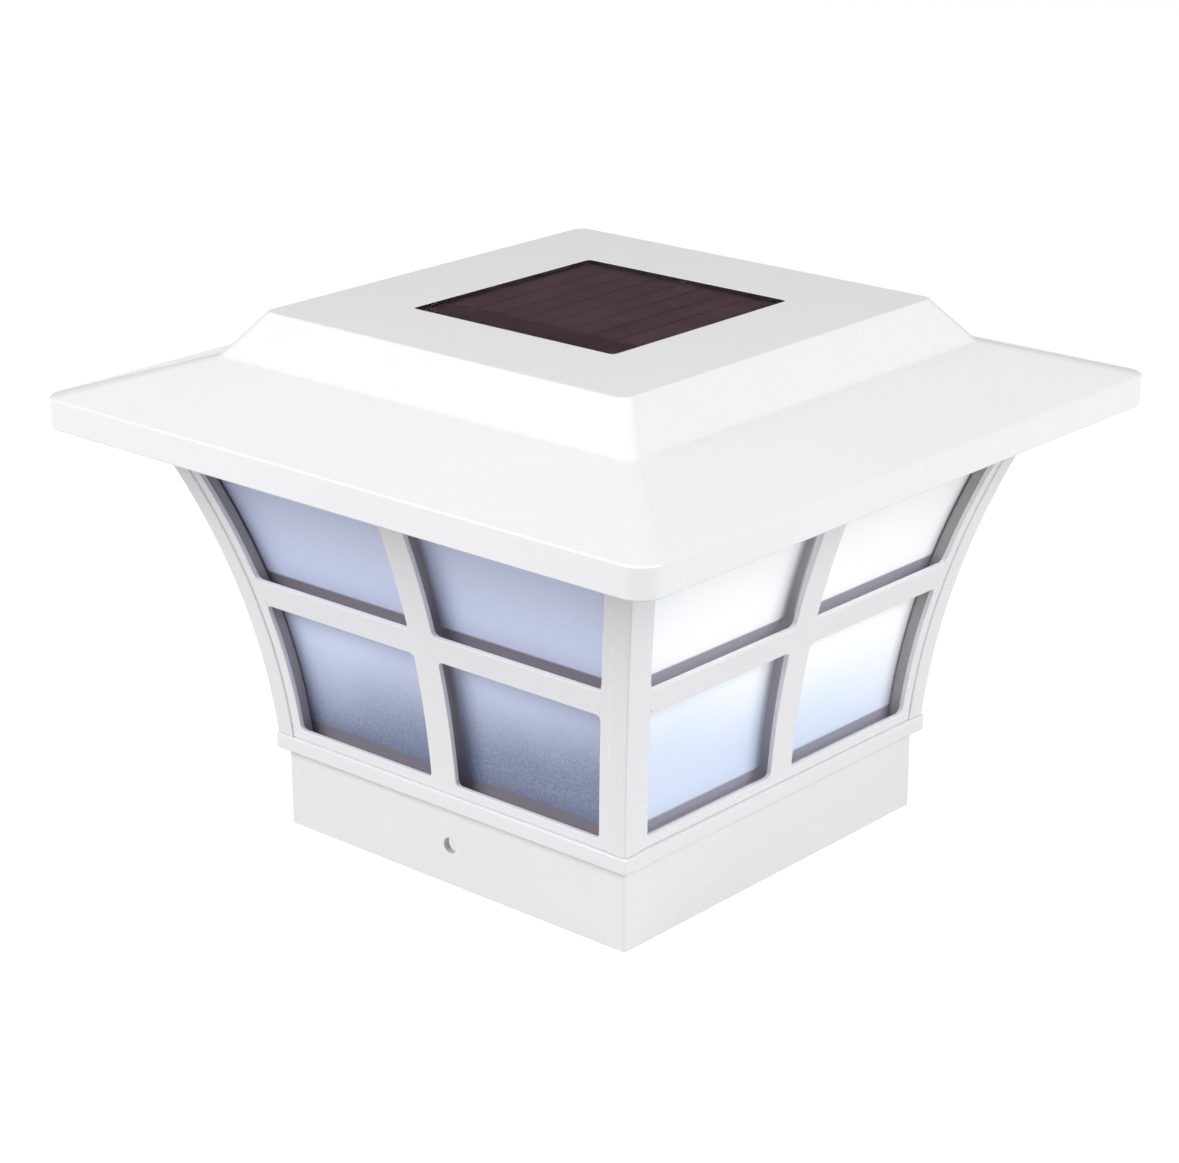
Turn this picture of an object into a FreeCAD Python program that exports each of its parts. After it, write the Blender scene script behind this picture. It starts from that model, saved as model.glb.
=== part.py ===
"""Solar deck post cap light: a flared four-window lantern under a lift-off roof.

Millimetres. The origin is the centre of the collar's bottom rim, +Z is up, -Y is the front.
Every driving size is a cell of the sheet below, and every piece is bound to those cells.
"""
import FreeCAD, Part
import math
import os

import Sketcher
from FreeCAD import Placement, Rotation, Vector

# Driving sizes: alias, value in millimetres (or degrees), what it is.
DRIVING_SIZES = [
    ("post_width", 127.0, "side of the square post that the collar slides over"),
    ("post_clearance", 1.0, "room between the post and the collar, each side"),
    ("collar_wall", 2.3, "collar wall"),
    ("collar_height", 25.0, "collar, rim to top plate"),
    ("collar_plate", 2.5, "top plate that rests on the post"),
    ("collar_round", 0.8, "round on the collar's upright edges"),
    ("mount_hole_radius", 2.4, "side screw hole"),
    ("mount_hole_height", 12.3, "side screw hole above the rim"),
    ("ledge_overhang", 2.7, "base ring beyond the collar, each side"),
    ("ledge_height", 4.8, "base ring thickness"),
    ("ring_opening", 100.0, "clear square inside the base ring"),
    ("boss_offset", 55.0, "base ring screw bosses from the middle, in X and Y"),
    ("boss_radius", 3.2, "base ring screw boss"),
    ("boss_rise", 4.2, "base ring screw boss above the ring"),
    ("groove_depth", 1.5, "grooves that hold panes and grille tabs"),
    ("fit_gap", 0.25, "room around a pane or tab in its groove"),
    ("flare_radius", 288.0, "radius of the lantern's flared faces"),
    ("flare_setback", 1.3, "corner post behind the base ring where the flare starts"),
    ("flare_start", 20.4, "how far below the base ring's top the flare is upright"),
    ("window_height", 99.2, "base ring to top ring"),
    ("grille_setback", 0.8, "grille face behind the corner posts"),
    ("grille_thickness", 2.0, "window grille"),
    ("pane_gap", 4.0, "grille to pane"),
    ("pane_thickness", 1.8, "frosted pane"),
    ("post_face", 6.5, "corner post, width seen on each face"),
    ("post_leg", 8.5, "corner post, width behind the grille"),
    ("stile_width", 10.2, "lantern corner to window opening"),
    ("sill_height", 3.6, "grille bar under the lower openings"),
    ("crossbar_rise", 42.6, "base ring to the grille's crossbar"),
    ("crossbar_height", 9.0, "grille crossbar"),
    ("head_height", 7.5, "grille bar above the upper openings"),
    ("muntin_width", 10.8, "upright bar in the middle of a grille"),
    ("opening_round", 1.6, "round in the corners of the openings"),
    ("tab_width", 6.0, "grille tab"),
    ("tab_offset", 34.0, "grille tab from the middle of its face"),
    ("top_ring_height", 3.0, "ring that caps the posts"),
    ("top_ring_land", 14.808, "top ring, its edge to its opening"),
    ("top_ring_overhang", 1.6, "top ring beyond the corner posts"),
    ("roof_width", 229.3, "roof across the fascia"),
    ("crease_width", 157.6, "roof across the foot of its steep slope"),
    ("plateau_width", 137.0, "roof across its flat top"),
    ("fascia_height", 9.1, "upright edge of the roof"),
    ("fascia_drop", 4.6, "fascia below the seat on the top ring"),
    ("brim_rise", 11.3, "brim, fascia top to crease"),
    ("slope_rise", 12.6, "steep slope, crease to flat top"),
    ("roof_wall", 2.4, "roof wall"),
    ("fascia_corner", 7.0, "round of the fascia in plan"),
    ("crease_corner", 4.0, "round of the crease in plan"),
    ("plateau_corner", 3.2, "round of the flat top in plan"),
    ("edge_round", 1.2, "softened top edge of the fascia"),
    ("plateau_round", 0.8, "softened edge of the flat top"),
    ("skirt_clearance", 0.4, "locating skirt inside the top ring"),
    ("skirt_wall", 2.0, "locating skirt"),
    ("skirt_drop", 5.0, "locating skirt below its seat"),
    ("shoulder_width", 5.4, "shoulder that sits on the top ring"),
    ("shoulder_height", 2.0, "shoulder thickness"),
    ("rib_thickness", 1.6, "stiffening ribs under the brim"),
    ("rib_lift", 1.0, "ribs above the seat"),
    ("rib_spacing", 56.0, "between ribs"),
    ("roof_boss_offset", 68.0, "roof screw bosses from the middle, in X and Y"),
    ("roof_boss_radius", 3.5, "roof screw boss"),
    ("panel_width", 76.2, "solar panel"),
    ("panel_clearance", 0.3, "room around the panel in its recess"),
    ("gasket_width", 4.0, "foam gasket under the panel's edge"),
    ("gasket_thickness", 0.5, "foam gasket"),
    ("backing_thickness", 1.2, "panel backing board"),
    ("cell_thickness", 0.3, "solar cell"),
    ("glass_thickness", 1.2, "panel cover"),
    ("cell_gap", 0.8, "between solar cells"),
    ("cell_side_margin", 3.0, "panel edge to the outer cells"),
    ("cell_back_margin", 2.4, "panel edge to the cells at the back"),
    ("cell_front_margin", 7.0, "panel edge to the cells at the front"),
    ("tray_wall", 2.6, "wall of the panel's tray"),
    ("tray_floor", 2.4, "floor of the panel's tray"),
    ("lead_hole_radius", 4.0, "hole for the panel's leads"),
    ("light_plate_thickness", 2.0, "plate that closes the roof and carries the light"),
    ("light_plate_gap", 0.4, "light plate inside the skirt"),
    ("light_plate_drop", 1.0, "light plate's face below the roof's seat"),
    ("well_length", 57.0, "battery compartment"),
    ("well_width", 19.65, "battery compartment, with room for the door's hinge"),
    ("well_front", 16.25, "battery compartment from the middle"),
    ("well_wall", 1.5, "battery compartment wall"),
    ("well_headroom", 0.6, "battery compartment above the battery"),
    ("battery_radius", 7.1, "rechargeable cell"),
    ("battery_length", 49.3, "rechargeable cell without its nub"),
    ("nub_radius", 2.75, "positive nub"),
    ("nub_length", 1.2, "positive nub"),
    ("battery_lift", 0.4, "battery above its door"),
    ("battery_inset", 8.75, "battery axis from the front of its compartment"),
    ("contact_thickness", 0.5, "contact strips"),
    ("contact_width", 10.0, "contact strips"),
    ("tag_width", 3.0, "solder tag of a contact strip"),
    ("tag_rise", 2.2, "solder tag above the compartment"),
    ("spring_wire", 0.7, "contact spring wire"),
    ("spring_foot_radius", 4.4, "contact spring at its strip"),
    ("spring_tip_radius", 2.8, "contact spring at the battery"),
    ("door_thickness", 1.6, "battery door"),
    ("door_gap", 0.3, "room around the battery door"),
    ("knuckle_radius", 1.0, "hinge barrel of the battery door"),
    ("hinge_pin_radius", 0.6, "hinge pins of the battery door"),
    ("hinge_pin_length", 1.2, "hinge pins of the battery door"),
    ("hinge_fit", 0.08, "hinge pin in its hole"),
    ("standoff_height", 6.0, "circuit board above the light plate"),
    ("standoff_radius", 2.6, "circuit board standoff"),
    ("board_thickness", 1.6, "circuit board"),
    ("board_length", 52.0, "circuit board, left to right"),
    ("board_front", 34.0, "circuit board's front edge from the middle"),
    ("board_back", 13.0, "circuit board's back edge from the middle"),
    ("board_margin", 4.0, "circuit board screws from its edges"),
    ("led_side", 3.0, "light-emitting diode"),
    ("led_height", 1.9, "light-emitting diode"),
    ("led_spacing", 9.0, "between light-emitting diodes"),
    ("dome_radius", 11.2, "clear dome under the diodes"),
    ("dome_wall", 1.2, "clear dome"),
    ("dome_flange", 13.0, "radius of the dome's flange"),
    ("dome_fit", 0.2, "dome in its hole"),
    ("switch_place", 17.0, "switch from the middle, to the right"),
    ("switch_inset", 24.0, "switch from the middle, to the front"),
    ("switch_length", 9.0, "switch body"),
    ("switch_width", 4.6, "switch body"),
    ("switch_height", 3.6, "switch body"),
    ("switch_travel", 2.0, "slider travel"),
    ("slider_length", 3.4, "slider foot inside the switch"),
    ("slider_width", 2.0, "slider foot inside the switch"),
    ("slider_height", 1.7, "slider foot inside the switch"),
    ("stem_width", 1.5, "slider stem"),
    ("slider_fit", 0.1, "slider in its switch"),
    ("knob_length", 4.0, "finger pad of the slider"),
    ("knob_width", 3.0, "finger pad of the slider"),
    ("knob_height", 1.2, "finger pad of the slider"),
    ("knob_clearance", 0.4, "finger pad below the light plate"),
    ("chip_length", 5.0, "driver chip"),
    ("chip_width", 4.0, "driver chip"),
    ("chip_height", 1.5, "driver chip"),
    ("pin_pitch", 1.27, "driver chip pins"),
    ("choke_radius", 3.6, "choke coil flange"),
    ("choke_height", 6.0, "choke coil"),
    ("wire_radius", 0.7, "leads"),
    ("screw_radius", 1.25, "screw shank"),
    ("screw_head_radius", 2.6, "screw head"),
    ("screw_head_height", 1.4, "screw head"),
    ("screw_fit", 0.06, "screw in its pilot hole"),
    ("screw_clearance", 0.3, "screw in its clearance hole"),
    ("collar_screw_length", 10.4, "screws up through the collar"),
    ("post_screw_length", 12.5, "screws up into the corner posts"),
    ("post_screw_inset", 4.2, "corner post screws from the base ring's edge"),
    ("ring_screw_length", 9.0, "screws down into the corner posts"),
    ("ring_screw_inset", 6.6, "top ring screws from the ring's edge"),
    ("plate_screw_length", 11.0, "screws up into the roof"),
    ("board_screw_length", 6.4, "circuit board screws"),
]
CELL_COUNT = 8
SPRING_TURNS = 4
REACH = 300.0  # longer than any piece, for tools that cut right through

doc = FreeCAD.newDocument("DeckPostCapLight")
sheet = doc.addObject("Spreadsheet::Sheet", "Sizes")
for row, (alias, value, meaning) in enumerate(DRIVING_SIZES, start=1):
    sheet.set(f"A{row}", meaning)
    sheet.set(f"B{row}", str(value))
    sheet.setAlias(f"B{row}", alias)
doc.recompute()


class Dim:
    """A length that carries its number and the sheet expression it comes from."""

    def __init__(self, text, value):
        self.text = text
        self.value = value

    def __add__(self, other):
        other = as_dim(other)
        return Dim(f"({self.text} + {other.text})", self.value + other.value)

    def __sub__(self, other):
        other = as_dim(other)
        return Dim(f"({self.text} - {other.text})", self.value - other.value)

    def __mul__(self, other):
        other = as_dim(other)
        return Dim(f"({self.text} * {other.text})", self.value * other.value)

    def __truediv__(self, other):
        other = as_dim(other)
        return Dim(f"({self.text} / {other.text})", self.value / other.value)

    def __neg__(self):
        return as_dim(0) - self

    __radd__ = __add__
    __rmul__ = __mul__

    def __rsub__(self, other):
        return as_dim(other) - self


def as_dim(number):
    """Give a plain number the same form as a size."""
    if isinstance(number, Dim):
        return number
    return Dim(f"({float(number)!r})", float(number))


def root(dim):
    """Square root of a size."""
    return Dim(f"sqrt({dim.text})", math.sqrt(dim.value))


class SheetSizes:
    """Reads a driving size from the sheet by its alias."""

    def __getattr__(self, alias):
        return Dim(f"Sizes.{alias}", float(sheet.get(alias)))


S = SheetSizes()
ZERO = as_dim(0)


def bind(thing, path, dim):
    """Tie a property to the sheet."""
    thing.setExpression(path, as_dim(dim).text)


# ---- Sketches, solids and features ------------------------------------------------------

def edge_shape(start, end, bend):
    """A straight edge, or an arc of radius bend: above zero it turns left on its way."""
    a = Vector(start[0].value, start[1].value, 0)
    b = Vector(end[0].value, end[1].value, 0)
    if bend is None:
        return Part.LineSegment(a, b), 1
    left = bend.value > 0
    radius = abs(bend.value)
    chord = b - a
    across = Vector(-chord.y, chord.x, 0).normalize()
    depth = math.sqrt(max(radius ** 2 - (chord.Length / 2) ** 2, 0.0))
    centre = (a + b) * 0.5 + across * (depth if left else -depth)
    circle = Part.Circle(centre, Vector(0, 0, 1), radius)
    angle_a = math.atan2(a.y - centre.y, a.x - centre.x)
    angle_b = math.atan2(b.y - centre.y, b.x - centre.x)
    if left:
        return Part.ArcOfCircle(circle, angle_a, angle_b), 1
    return Part.ArcOfCircle(circle, angle_b, angle_a), 2


def place_point(sketch, edge, end, x, y):
    """Fix one end of an edge, or a circle's centre, at a place from the sheet."""
    for kind, dim in (("DistanceX", x), ("DistanceY", y)):
        index = sketch.addConstraint(Sketcher.Constraint(kind, -1, 1, edge, end, dim.value))
        bind(sketch, f"Constraints[{index}]", dim)


def outline(sketch, corners):
    """Draw a closed loop. A corner is (x, y) or (x, y, bend of the edge that leaves it)."""
    edges = []
    for index, corner in enumerate(corners):
        following = corners[(index + 1) % len(corners)]
        bend = corner[2] if len(corner) > 2 else None
        shape, start_end = edge_shape(corner, following, bend)
        edges.append((sketch.addGeometry(shape, False), start_end, bend))
    for index, corner in enumerate(corners):
        edge, start_end, bend = edges[index]
        next_edge, next_start, _ = edges[(index + 1) % len(edges)]
        meet = Sketcher.Constraint("Coincident", edge, 3 - start_end, next_edge, next_start)
        sketch.addConstraint(meet)
        place_point(sketch, edge, start_end, as_dim(corner[0]), as_dim(corner[1]))
        if bend is not None:
            size = Sketcher.Constraint("Radius", edge, abs(bend.value))
            radius = sketch.addConstraint(size)
            bind(sketch, f"Constraints[{radius}]", bend if bend.value > 0 else -bend)


def rectangle(sketch, x_low, x_high, y_low, y_high):
    """Draw a rectangle."""
    outline(sketch, [(x_low, y_low), (x_high, y_low), (x_high, y_high), (x_low, y_high)])


def square(sketch, half):
    """Draw a square about the middle."""
    rectangle(sketch, -half, half, -half, half)


def rounded_square(sketch, half, radius):
    """Draw a square about the middle with rounded corners."""
    flat = half - radius
    outline(sketch, [
        (-flat, -half), (flat, -half, radius), (half, -flat), (half, flat, radius),
        (flat, half), (-flat, half, radius), (-half, flat), (-half, -flat, radius),
    ])


def disc(sketch, x, y, radius):
    """Draw a circle."""
    x, y = as_dim(x), as_dim(y)
    centre = Vector(x.value, y.value, 0)
    edge = sketch.addGeometry(Part.Circle(centre, Vector(0, 0, 1), radius.value), False)
    place_point(sketch, edge, 3, x, y)
    index = sketch.addConstraint(Sketcher.Constraint("Radius", edge, radius.value))
    bind(sketch, f"Constraints[{index}]", radius)


PLANE_TURNS = {
    "XY_Plane": Rotation(),
    "XZ_Plane": Rotation(Vector(1, 0, 0), 90),
    "YZ_Plane": Rotation(Vector(1, 1, 1), 120),
}


def free_sketch(name, plane, height=ZERO):
    """A sketch of its own, for a loft or an extrusion, height above the XY plane."""
    sketch = doc.addObject("Sketcher::SketchObject", name)
    sketch.Placement = Placement(Vector(0, 0, as_dim(height).value), PLANE_TURNS[plane])
    bind(sketch, "Placement.Base.z", height)
    return sketch


def extrude(sketch, length, symmetric=False):
    """Extrude a free sketch along its normal."""
    solid = doc.addObject("Part::Extrusion", sketch.Name + "_solid")
    solid.Base = sketch
    solid.DirMode = "Normal"
    solid.Solid = True
    solid.Symmetric = symmetric
    bind(solid, "LengthFwd", length)
    return solid


def loft(name, sections):
    """A solid with flat sides through rounded squares: (height, half width, corner)."""
    sketches = []
    for index, (height, half, corner) in enumerate(sections):
        sketch = free_sketch(f"{name}_section_{index}", "XY_Plane", height)
        rounded_square(sketch, half, corner)
        sketches.append(sketch)
    solid = doc.addObject("Part::Loft", name)
    solid.Sections = sketches
    solid.Solid = True
    solid.Ruled = True
    return solid


def boolean(kind, name, base, tool):
    """Cut or Common of two objects."""
    result = doc.addObject(f"Part::{kind}", name)
    result.Base = base
    result.Tool = tool
    result.Refine = True
    return result


def fuse(name, shapes):
    """One solid from several that touch."""
    result = doc.addObject("Part::MultiFuse", name)
    result.Shapes = shapes
    result.Refine = True
    return result


def group(name, members):
    """Separate solids kept together as one sub-part."""
    result = doc.addObject("Part::Compound", name)
    result.Links = members
    return result


def block(name, x, y, z):
    """A box from its low and high places."""
    solid = doc.addObject("Part::Box", name)
    for path, size, place, (low, high) in (
            ("Length", "x", "Placement.Base.x", x),
            ("Width", "y", "Placement.Base.y", y),
            ("Height", "z", "Placement.Base.z", z)):
        bind(solid, path, as_dim(high) - as_dim(low))
        bind(solid, place, low)
    return solid


def rod(name, x, y, z, radius, turn=None):
    """A cylinder standing at x, y between two heights, or turned about its foot."""
    solid = doc.addObject("Part::Cylinder", name)
    if turn is not None:
        solid.Placement = Placement(Vector(), turn)
    bind(solid, "Radius", radius)
    bind(solid, "Height", as_dim(z[1]) - as_dim(z[0]))
    bind(solid, "Placement.Base.x", x)
    bind(solid, "Placement.Base.y", y)
    bind(solid, "Placement.Base.z", z[0])
    return solid


def mirrored(name, source, normal):
    """The mirror image of a piece in an upright plane through the middle."""
    image = doc.addObject("Part::Mirroring", name)
    image.Source = source
    image.Base = (0, 0, 0)
    image.Normal = normal
    return image


def start_body(name):
    """A body for one piece."""
    body = doc.addObject("PartDesign::Body", name)
    return body


def draw_on(body, name, height=ZERO, role="XY_Plane"):
    """A sketch on one of a body's own planes, height along that plane's normal."""
    plane = next(item for item in body.Origin.OriginFeatures if item.Role == role)
    sketch = body.newObject("Sketcher::SketchObject", f"{body.Name}_{name}")
    sketch.AttachmentSupport = (plane, [""])
    sketch.MapMode = "FlatFace"
    bind(sketch, "AttachmentOffset.Base.z", height)
    return sketch


def feature(body, kind, sketch, length, reverse=False, middle=False):
    """Pad or Pocket a sketch, and check that the volume changed the right way."""
    before = body.Shape.Volume if body.Tip else 0.0
    made = body.newObject(f"PartDesign::{kind}", f"{sketch.Name}_{kind}")
    made.Profile = sketch
    made.Reversed = reverse
    made.Midplane = middle
    bind(made, "Length", length)
    body.Tip = made
    doc.recompute()
    change = body.Shape.Volume - before
    if (change <= 0) == (kind == "Pad"):
        raise RuntimeError(f"{made.Name} changed nothing")
    return made


def pad(body, sketch, length, **options):
    """Add material above a sketch."""
    return feature(body, "Pad", sketch, length, **options)


def pocket(body, sketch, length, **options):
    """Cut material below a sketch."""
    return feature(body, "Pocket", sketch, length, **options)


def turned(body, name, profile, axis="V_Axis", role="XZ_Plane", height=ZERO):
    """Revolve a closed profile about an axis of its sketch."""
    sketch = draw_on(body, name, height, role)
    outline(sketch, profile)
    made = body.newObject("PartDesign::Revolution", f"{sketch.Name}_turned")
    made.Profile = sketch
    made.ReferenceAxis = (sketch, [axis])
    made.Angle = 360.0
    body.Tip = made
    doc.recompute()
    return made


def four_corners(offset):
    """The same place at the four corners: (x, y) pairs."""
    return [(offset, -offset), (offset, offset), (-offset, offset), (-offset, -offset)]


def screw(name, x, y, head, length, down=False):
    """A countersunk screw: head is the height of its flat face, length its whole length."""
    body = start_body(name)
    way = -1 if down else 1
    neck = head + way * S.screw_head_height
    tip = head + way * length
    point = tip - way * S.screw_radius
    turned(body, "profile", [
        (ZERO, head), (S.screw_head_radius, head), (S.screw_radius, neck),
        (S.screw_radius, point), (S.screw_radius / 4, tip), (ZERO, tip),
    ])
    bind(body, "Placement.Base.x", x)
    bind(body, "Placement.Base.y", y)
    return body


def screw_hole(name, x, y, head, through, end, down=False):
    """What a screw needs: countersink and clearance up to through, pilot hole to end."""
    way = -1 if down else 1
    room = S.screw_clearance
    neck = head + way * S.screw_head_height
    sink = start_body(name)
    turned(sink, "profile", [
        (ZERO, head - way * room), (S.screw_head_radius + room, head - way * room),
        (S.screw_head_radius + room, head + way * S.screw_fit),
        (S.screw_radius + room, neck + way * S.screw_fit),
        (S.screw_radius + room, through), (S.screw_radius + S.screw_fit, through),
        (S.screw_radius + S.screw_fit, end), (ZERO, end),
    ])
    bind(sink, "Placement.Base.x", x)
    bind(sink, "Placement.Base.y", y)
    return sink


sub_parts = {}


def keep(name, thing):
    """Name a finished sub-part."""
    thing.Label = name
    sub_parts[name] = thing
    return thing


# ---- Places that several pieces share -----------------------------------------------------

collar_bore = S.post_width / 2 + S.post_clearance
collar_half = collar_bore + S.collar_wall
ledge_half = collar_half + S.ledge_overhang
ledge_top = S.collar_height + S.ledge_height
ring_bottom = ledge_top + S.window_height
seat = ring_bottom + S.top_ring_height

flare_centre = ledge_half - S.flare_setback + S.flare_radius
flare_level = ledge_top - S.flare_start


def flare_at(height, depth=ZERO):
    """Half width of the lantern at a height, depth in from the corner posts' faces."""
    radius = S.flare_radius + depth
    return flare_centre - root(radius * radius - (height - flare_level) * (height - flare_level))


grille_face = S.grille_setback
grille_back = S.grille_setback + S.grille_thickness
pane_face = grille_back + S.pane_gap
pane_back = pane_face + S.pane_thickness

roof_half = S.roof_width / 2
crease_half = S.crease_width / 2
plateau_half = S.plateau_width / 2
fascia_bottom = seat - S.fascia_drop
fascia_top = fascia_bottom + S.fascia_height
crease_height = fascia_top + S.brim_rise
plateau_height = crease_height + S.slope_rise

top_ring_half = flare_at(ring_bottom) + S.top_ring_overhang
top_ring_inner = top_ring_half - S.top_ring_land
skirt_outer = top_ring_inner - S.skirt_clearance
skirt_inner = skirt_outer - S.skirt_wall

panel_half = S.panel_width / 2
recess_half = panel_half + S.panel_clearance
tray_half = recess_half + S.tray_wall
glass_bottom = plateau_height - S.glass_thickness
cell_bottom = glass_bottom - S.cell_thickness
backing_bottom = cell_bottom - S.backing_thickness
recess_floor = backing_bottom - S.gasket_thickness
tray_bottom = recess_floor - S.tray_floor

light_plate_bottom = seat - S.light_plate_drop
light_plate_top = light_plate_bottom + S.light_plate_thickness
light_plate_half = skirt_inner - S.light_plate_gap

well_half = S.well_length / 2
well_back = S.well_front + S.well_width
battery_axis_y = S.well_front + S.battery_inset
battery_axis_z = light_plate_bottom + S.door_thickness + S.battery_lift + S.battery_radius
well_ceiling = battery_axis_z + S.battery_radius + S.well_headroom
well_top = well_ceiling + S.well_wall
battery_end = well_half - S.contact_thickness
hinge_y = well_back - S.door_gap - S.knuckle_radius
hinge_z = light_plate_bottom + S.knuckle_radius

board_bottom = light_plate_top + S.standoff_height
board_top = board_bottom + S.board_thickness
board_half = S.board_length / 2
board_screw_x = board_half - S.board_margin
board_screws_y = (-(S.board_front - S.board_margin), S.board_back - S.board_margin)

switch_y = -S.switch_inset
switch_bottom = board_bottom - S.switch_height
slider_x = S.switch_place - S.switch_travel / 2
slider_roof = switch_bottom + S.stem_width / 2 + S.slider_height


# ---- Lantern base -------------------------------------------------------------------------

def make_post_collar():
    """Square sleeve with a closed top plate that stands on the post."""
    body = start_body("post_collar")
    sleeve = draw_on(body, "sleeve")
    rounded_square(sleeve, collar_half, S.collar_round)
    pad(body, sleeve, S.collar_height)
    socket = draw_on(body, "socket", S.collar_height - S.collar_plate)
    square(socket, collar_bore)
    pocket(body, socket, S.collar_height)
    sides = draw_on(body, "side_holes", ZERO, "XZ_Plane")
    disc(sides, ZERO, S.mount_hole_height, S.mount_hole_radius)
    pocket(body, sides, as_dim(REACH), middle=True)
    holes = [
        screw_hole(f"collar_hole_{index}", x, y, S.collar_height - S.collar_plate,
                   S.collar_height + S.collar_plate, S.collar_height + S.collar_plate * 2)
        for index, (x, y) in enumerate(four_corners(S.boss_offset))
    ]
    keep("post_collar", boolean("Cut", "collar_drilled", body, group("collar_holes", holes)))


def make_base_ring():
    """Ledge ring: grooves for the panes, slots for the grilles, bosses for the screws."""
    body = start_body("base_ring_blank")
    ledge = draw_on(body, "ledge", S.collar_height)
    square(ledge, ledge_half)
    square(ledge, S.ring_opening / 2)
    pad(body, ledge, S.ledge_height)
    bosses = draw_on(body, "bosses", ledge_top)
    for x, y in four_corners(S.boss_offset):
        disc(bosses, x, y, S.boss_radius)
    pad(body, bosses, S.boss_rise)
    groove = draw_on(body, "pane_groove", ledge_top)
    square(groove, flare_at(ledge_top, pane_face) + S.fit_gap)
    square(groove, flare_at(ledge_top - S.groove_depth, pane_back) - S.fit_gap)
    pocket(body, groove, S.groove_depth)
    slots = draw_on(body, "tab_slots", ledge_top)
    tab_slots(slots, flare_at(ledge_top - S.groove_depth, grille_back),
              flare_at(ledge_top, grille_face))
    pocket(body, slots, S.groove_depth)
    screw_end = S.collar_height - S.collar_plate + S.collar_screw_length + S.screw_fit
    tools = [
        rod(f"boss_pilot_{index}", x, y, (S.collar_height - S.collar_plate, screw_end),
            S.screw_radius + S.screw_fit)
        for index, (x, y) in enumerate(four_corners(S.boss_offset))
    ]
    tools += [
        screw_hole(f"foot_hole_{index}", x, y, S.collar_height, ledge_top + S.fit_gap,
                   ledge_top + S.ledge_height)
        for index, (x, y) in enumerate(four_corners(ledge_half - S.post_screw_inset))
    ]
    keep("base_ring", boolean("Cut", "base_ring_drilled", body, group("ring_tools", tools)))


def tab_slots(sketch, inner, outer):
    """Eight slots, two behind each face, for the grilles' tabs."""
    half = S.tab_width / 2 + S.fit_gap
    low, high = inner - S.fit_gap, outer + S.fit_gap
    for side in (-1, 1):
        middle = side * S.tab_offset
        rectangle(sketch, middle - half, middle + half, low, high)
        rectangle(sketch, middle - half, middle + half, -high, -low)
        rectangle(sketch, low, high, middle - half, middle + half)
        rectangle(sketch, -high, -low, middle - half, middle + half)


# ---- Flared lantern sides -----------------------------------------------------------------

def shifted_flare(height, width):
    """The lantern's edge moved in by a width, level by level."""
    return flare_at(height) - width


def flared_slab(name, plane, low, high, outer, inner):
    """A long slab between two flared faces on the +X or +Y side.

    outer and inner are (depth, width): a depth follows the face's own normal, a width moves
    the face straight in.
    """
    sketch = free_sketch(name, plane)
    edges = []
    for depth, width in (outer, inner):
        radius = S.flare_radius + depth
        at_low = flare_at(low, depth) - width
        at_high = flare_at(high, depth) - width
        edges.append((at_low, at_high, radius))
    (outer_low, outer_high, outer_radius), (inner_low, inner_high, inner_radius) = edges
    outline(sketch, [
        (outer_low, low, -outer_radius), (outer_high, high),
        (inner_high, high, inner_radius), (inner_low, low),
    ])
    return extrude(sketch, as_dim(REACH), symmetric=True)


def crossing(name, low, high, outer, inner):
    """What a slab on the +X side and the same slab on the +Y side share."""
    across = flared_slab(name + "_x", "XZ_Plane", low, high, outer, inner)
    along = flared_slab(name + "_y", "YZ_Plane", low, high, outer, inner)
    return boolean("Common", name, across, along)


def make_corner_posts():
    """Four flared corner posts: an L in section, rebated behind the grilles' edges."""
    low, high = ledge_top, ring_bottom
    past = S.fit_gap
    full = crossing("post_block", low, high, (ZERO, ZERO), (ZERO, S.post_leg))
    notch = crossing("post_notch", low - past, high + past,
                     (pane_face - S.screw_fit, ZERO), (ZERO, S.post_leg * 2))
    rebates = []
    for name, plane, other in (("rebate_a", "XZ_Plane", "YZ_Plane"),
                               ("rebate_b", "YZ_Plane", "XZ_Plane")):
        ends = flared_slab(name + "_end", plane, low - past, high + past,
                           (ZERO, S.post_face), (ZERO, S.post_leg * 2))
        depth = flared_slab(name + "_depth", other, low - past, high + past,
                            (ZERO, -S.post_leg), (grille_back + S.screw_fit, ZERO))
        rebates.append(boolean("Common", name, ends, depth))
    foot = ledge_half - S.post_screw_inset
    top = top_ring_half - S.ring_screw_inset
    pilot = S.screw_radius + S.screw_fit
    holes = [
        rod("post_foot_pilot", foot, foot,
            (low - past, S.collar_height + S.post_screw_length + S.fit_gap), pilot),
        rod("post_top_pilot", top, top,
            (seat - S.ring_screw_length - S.fit_gap, high + past), pilot),
    ]
    tools = group("post_tools", [notch] + rebates + holes)
    master = boolean("Cut", "corner_post", full, tools)
    keep("corner_post_back_right", master)
    left = keep("corner_post_back_left", mirrored("post_bl", master, (1, 0, 0)))
    keep("corner_post_front_right", mirrored("post_fr", master, (0, 1, 0)))
    keep("corner_post_front_left", mirrored("post_fl", left, (0, 1, 0)))


def window_opening(sketch, low, high, side):
    """One opening of a grille, to the right (side 1) or left (side -1) of the muntin."""
    ease = S.opening_round
    muntin = S.muntin_width / 2
    corners = [
        (muntin + ease, low, None),
        (shifted_flare(low, S.stile_width) - ease, low, ease),
        (shifted_flare(low + ease, S.stile_width), low + ease, -S.flare_radius),
        (shifted_flare(high - ease, S.stile_width), high - ease, ease),
        (shifted_flare(high, S.stile_width) - ease, high, None),
        (muntin + ease, high, ease),
        (muntin, high - ease, None),
        (muntin, low + ease, ease),
    ]
    outline(sketch, [
        (x * side, y, None if bend is None else bend * side) for x, y, bend in corners
    ])


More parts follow.
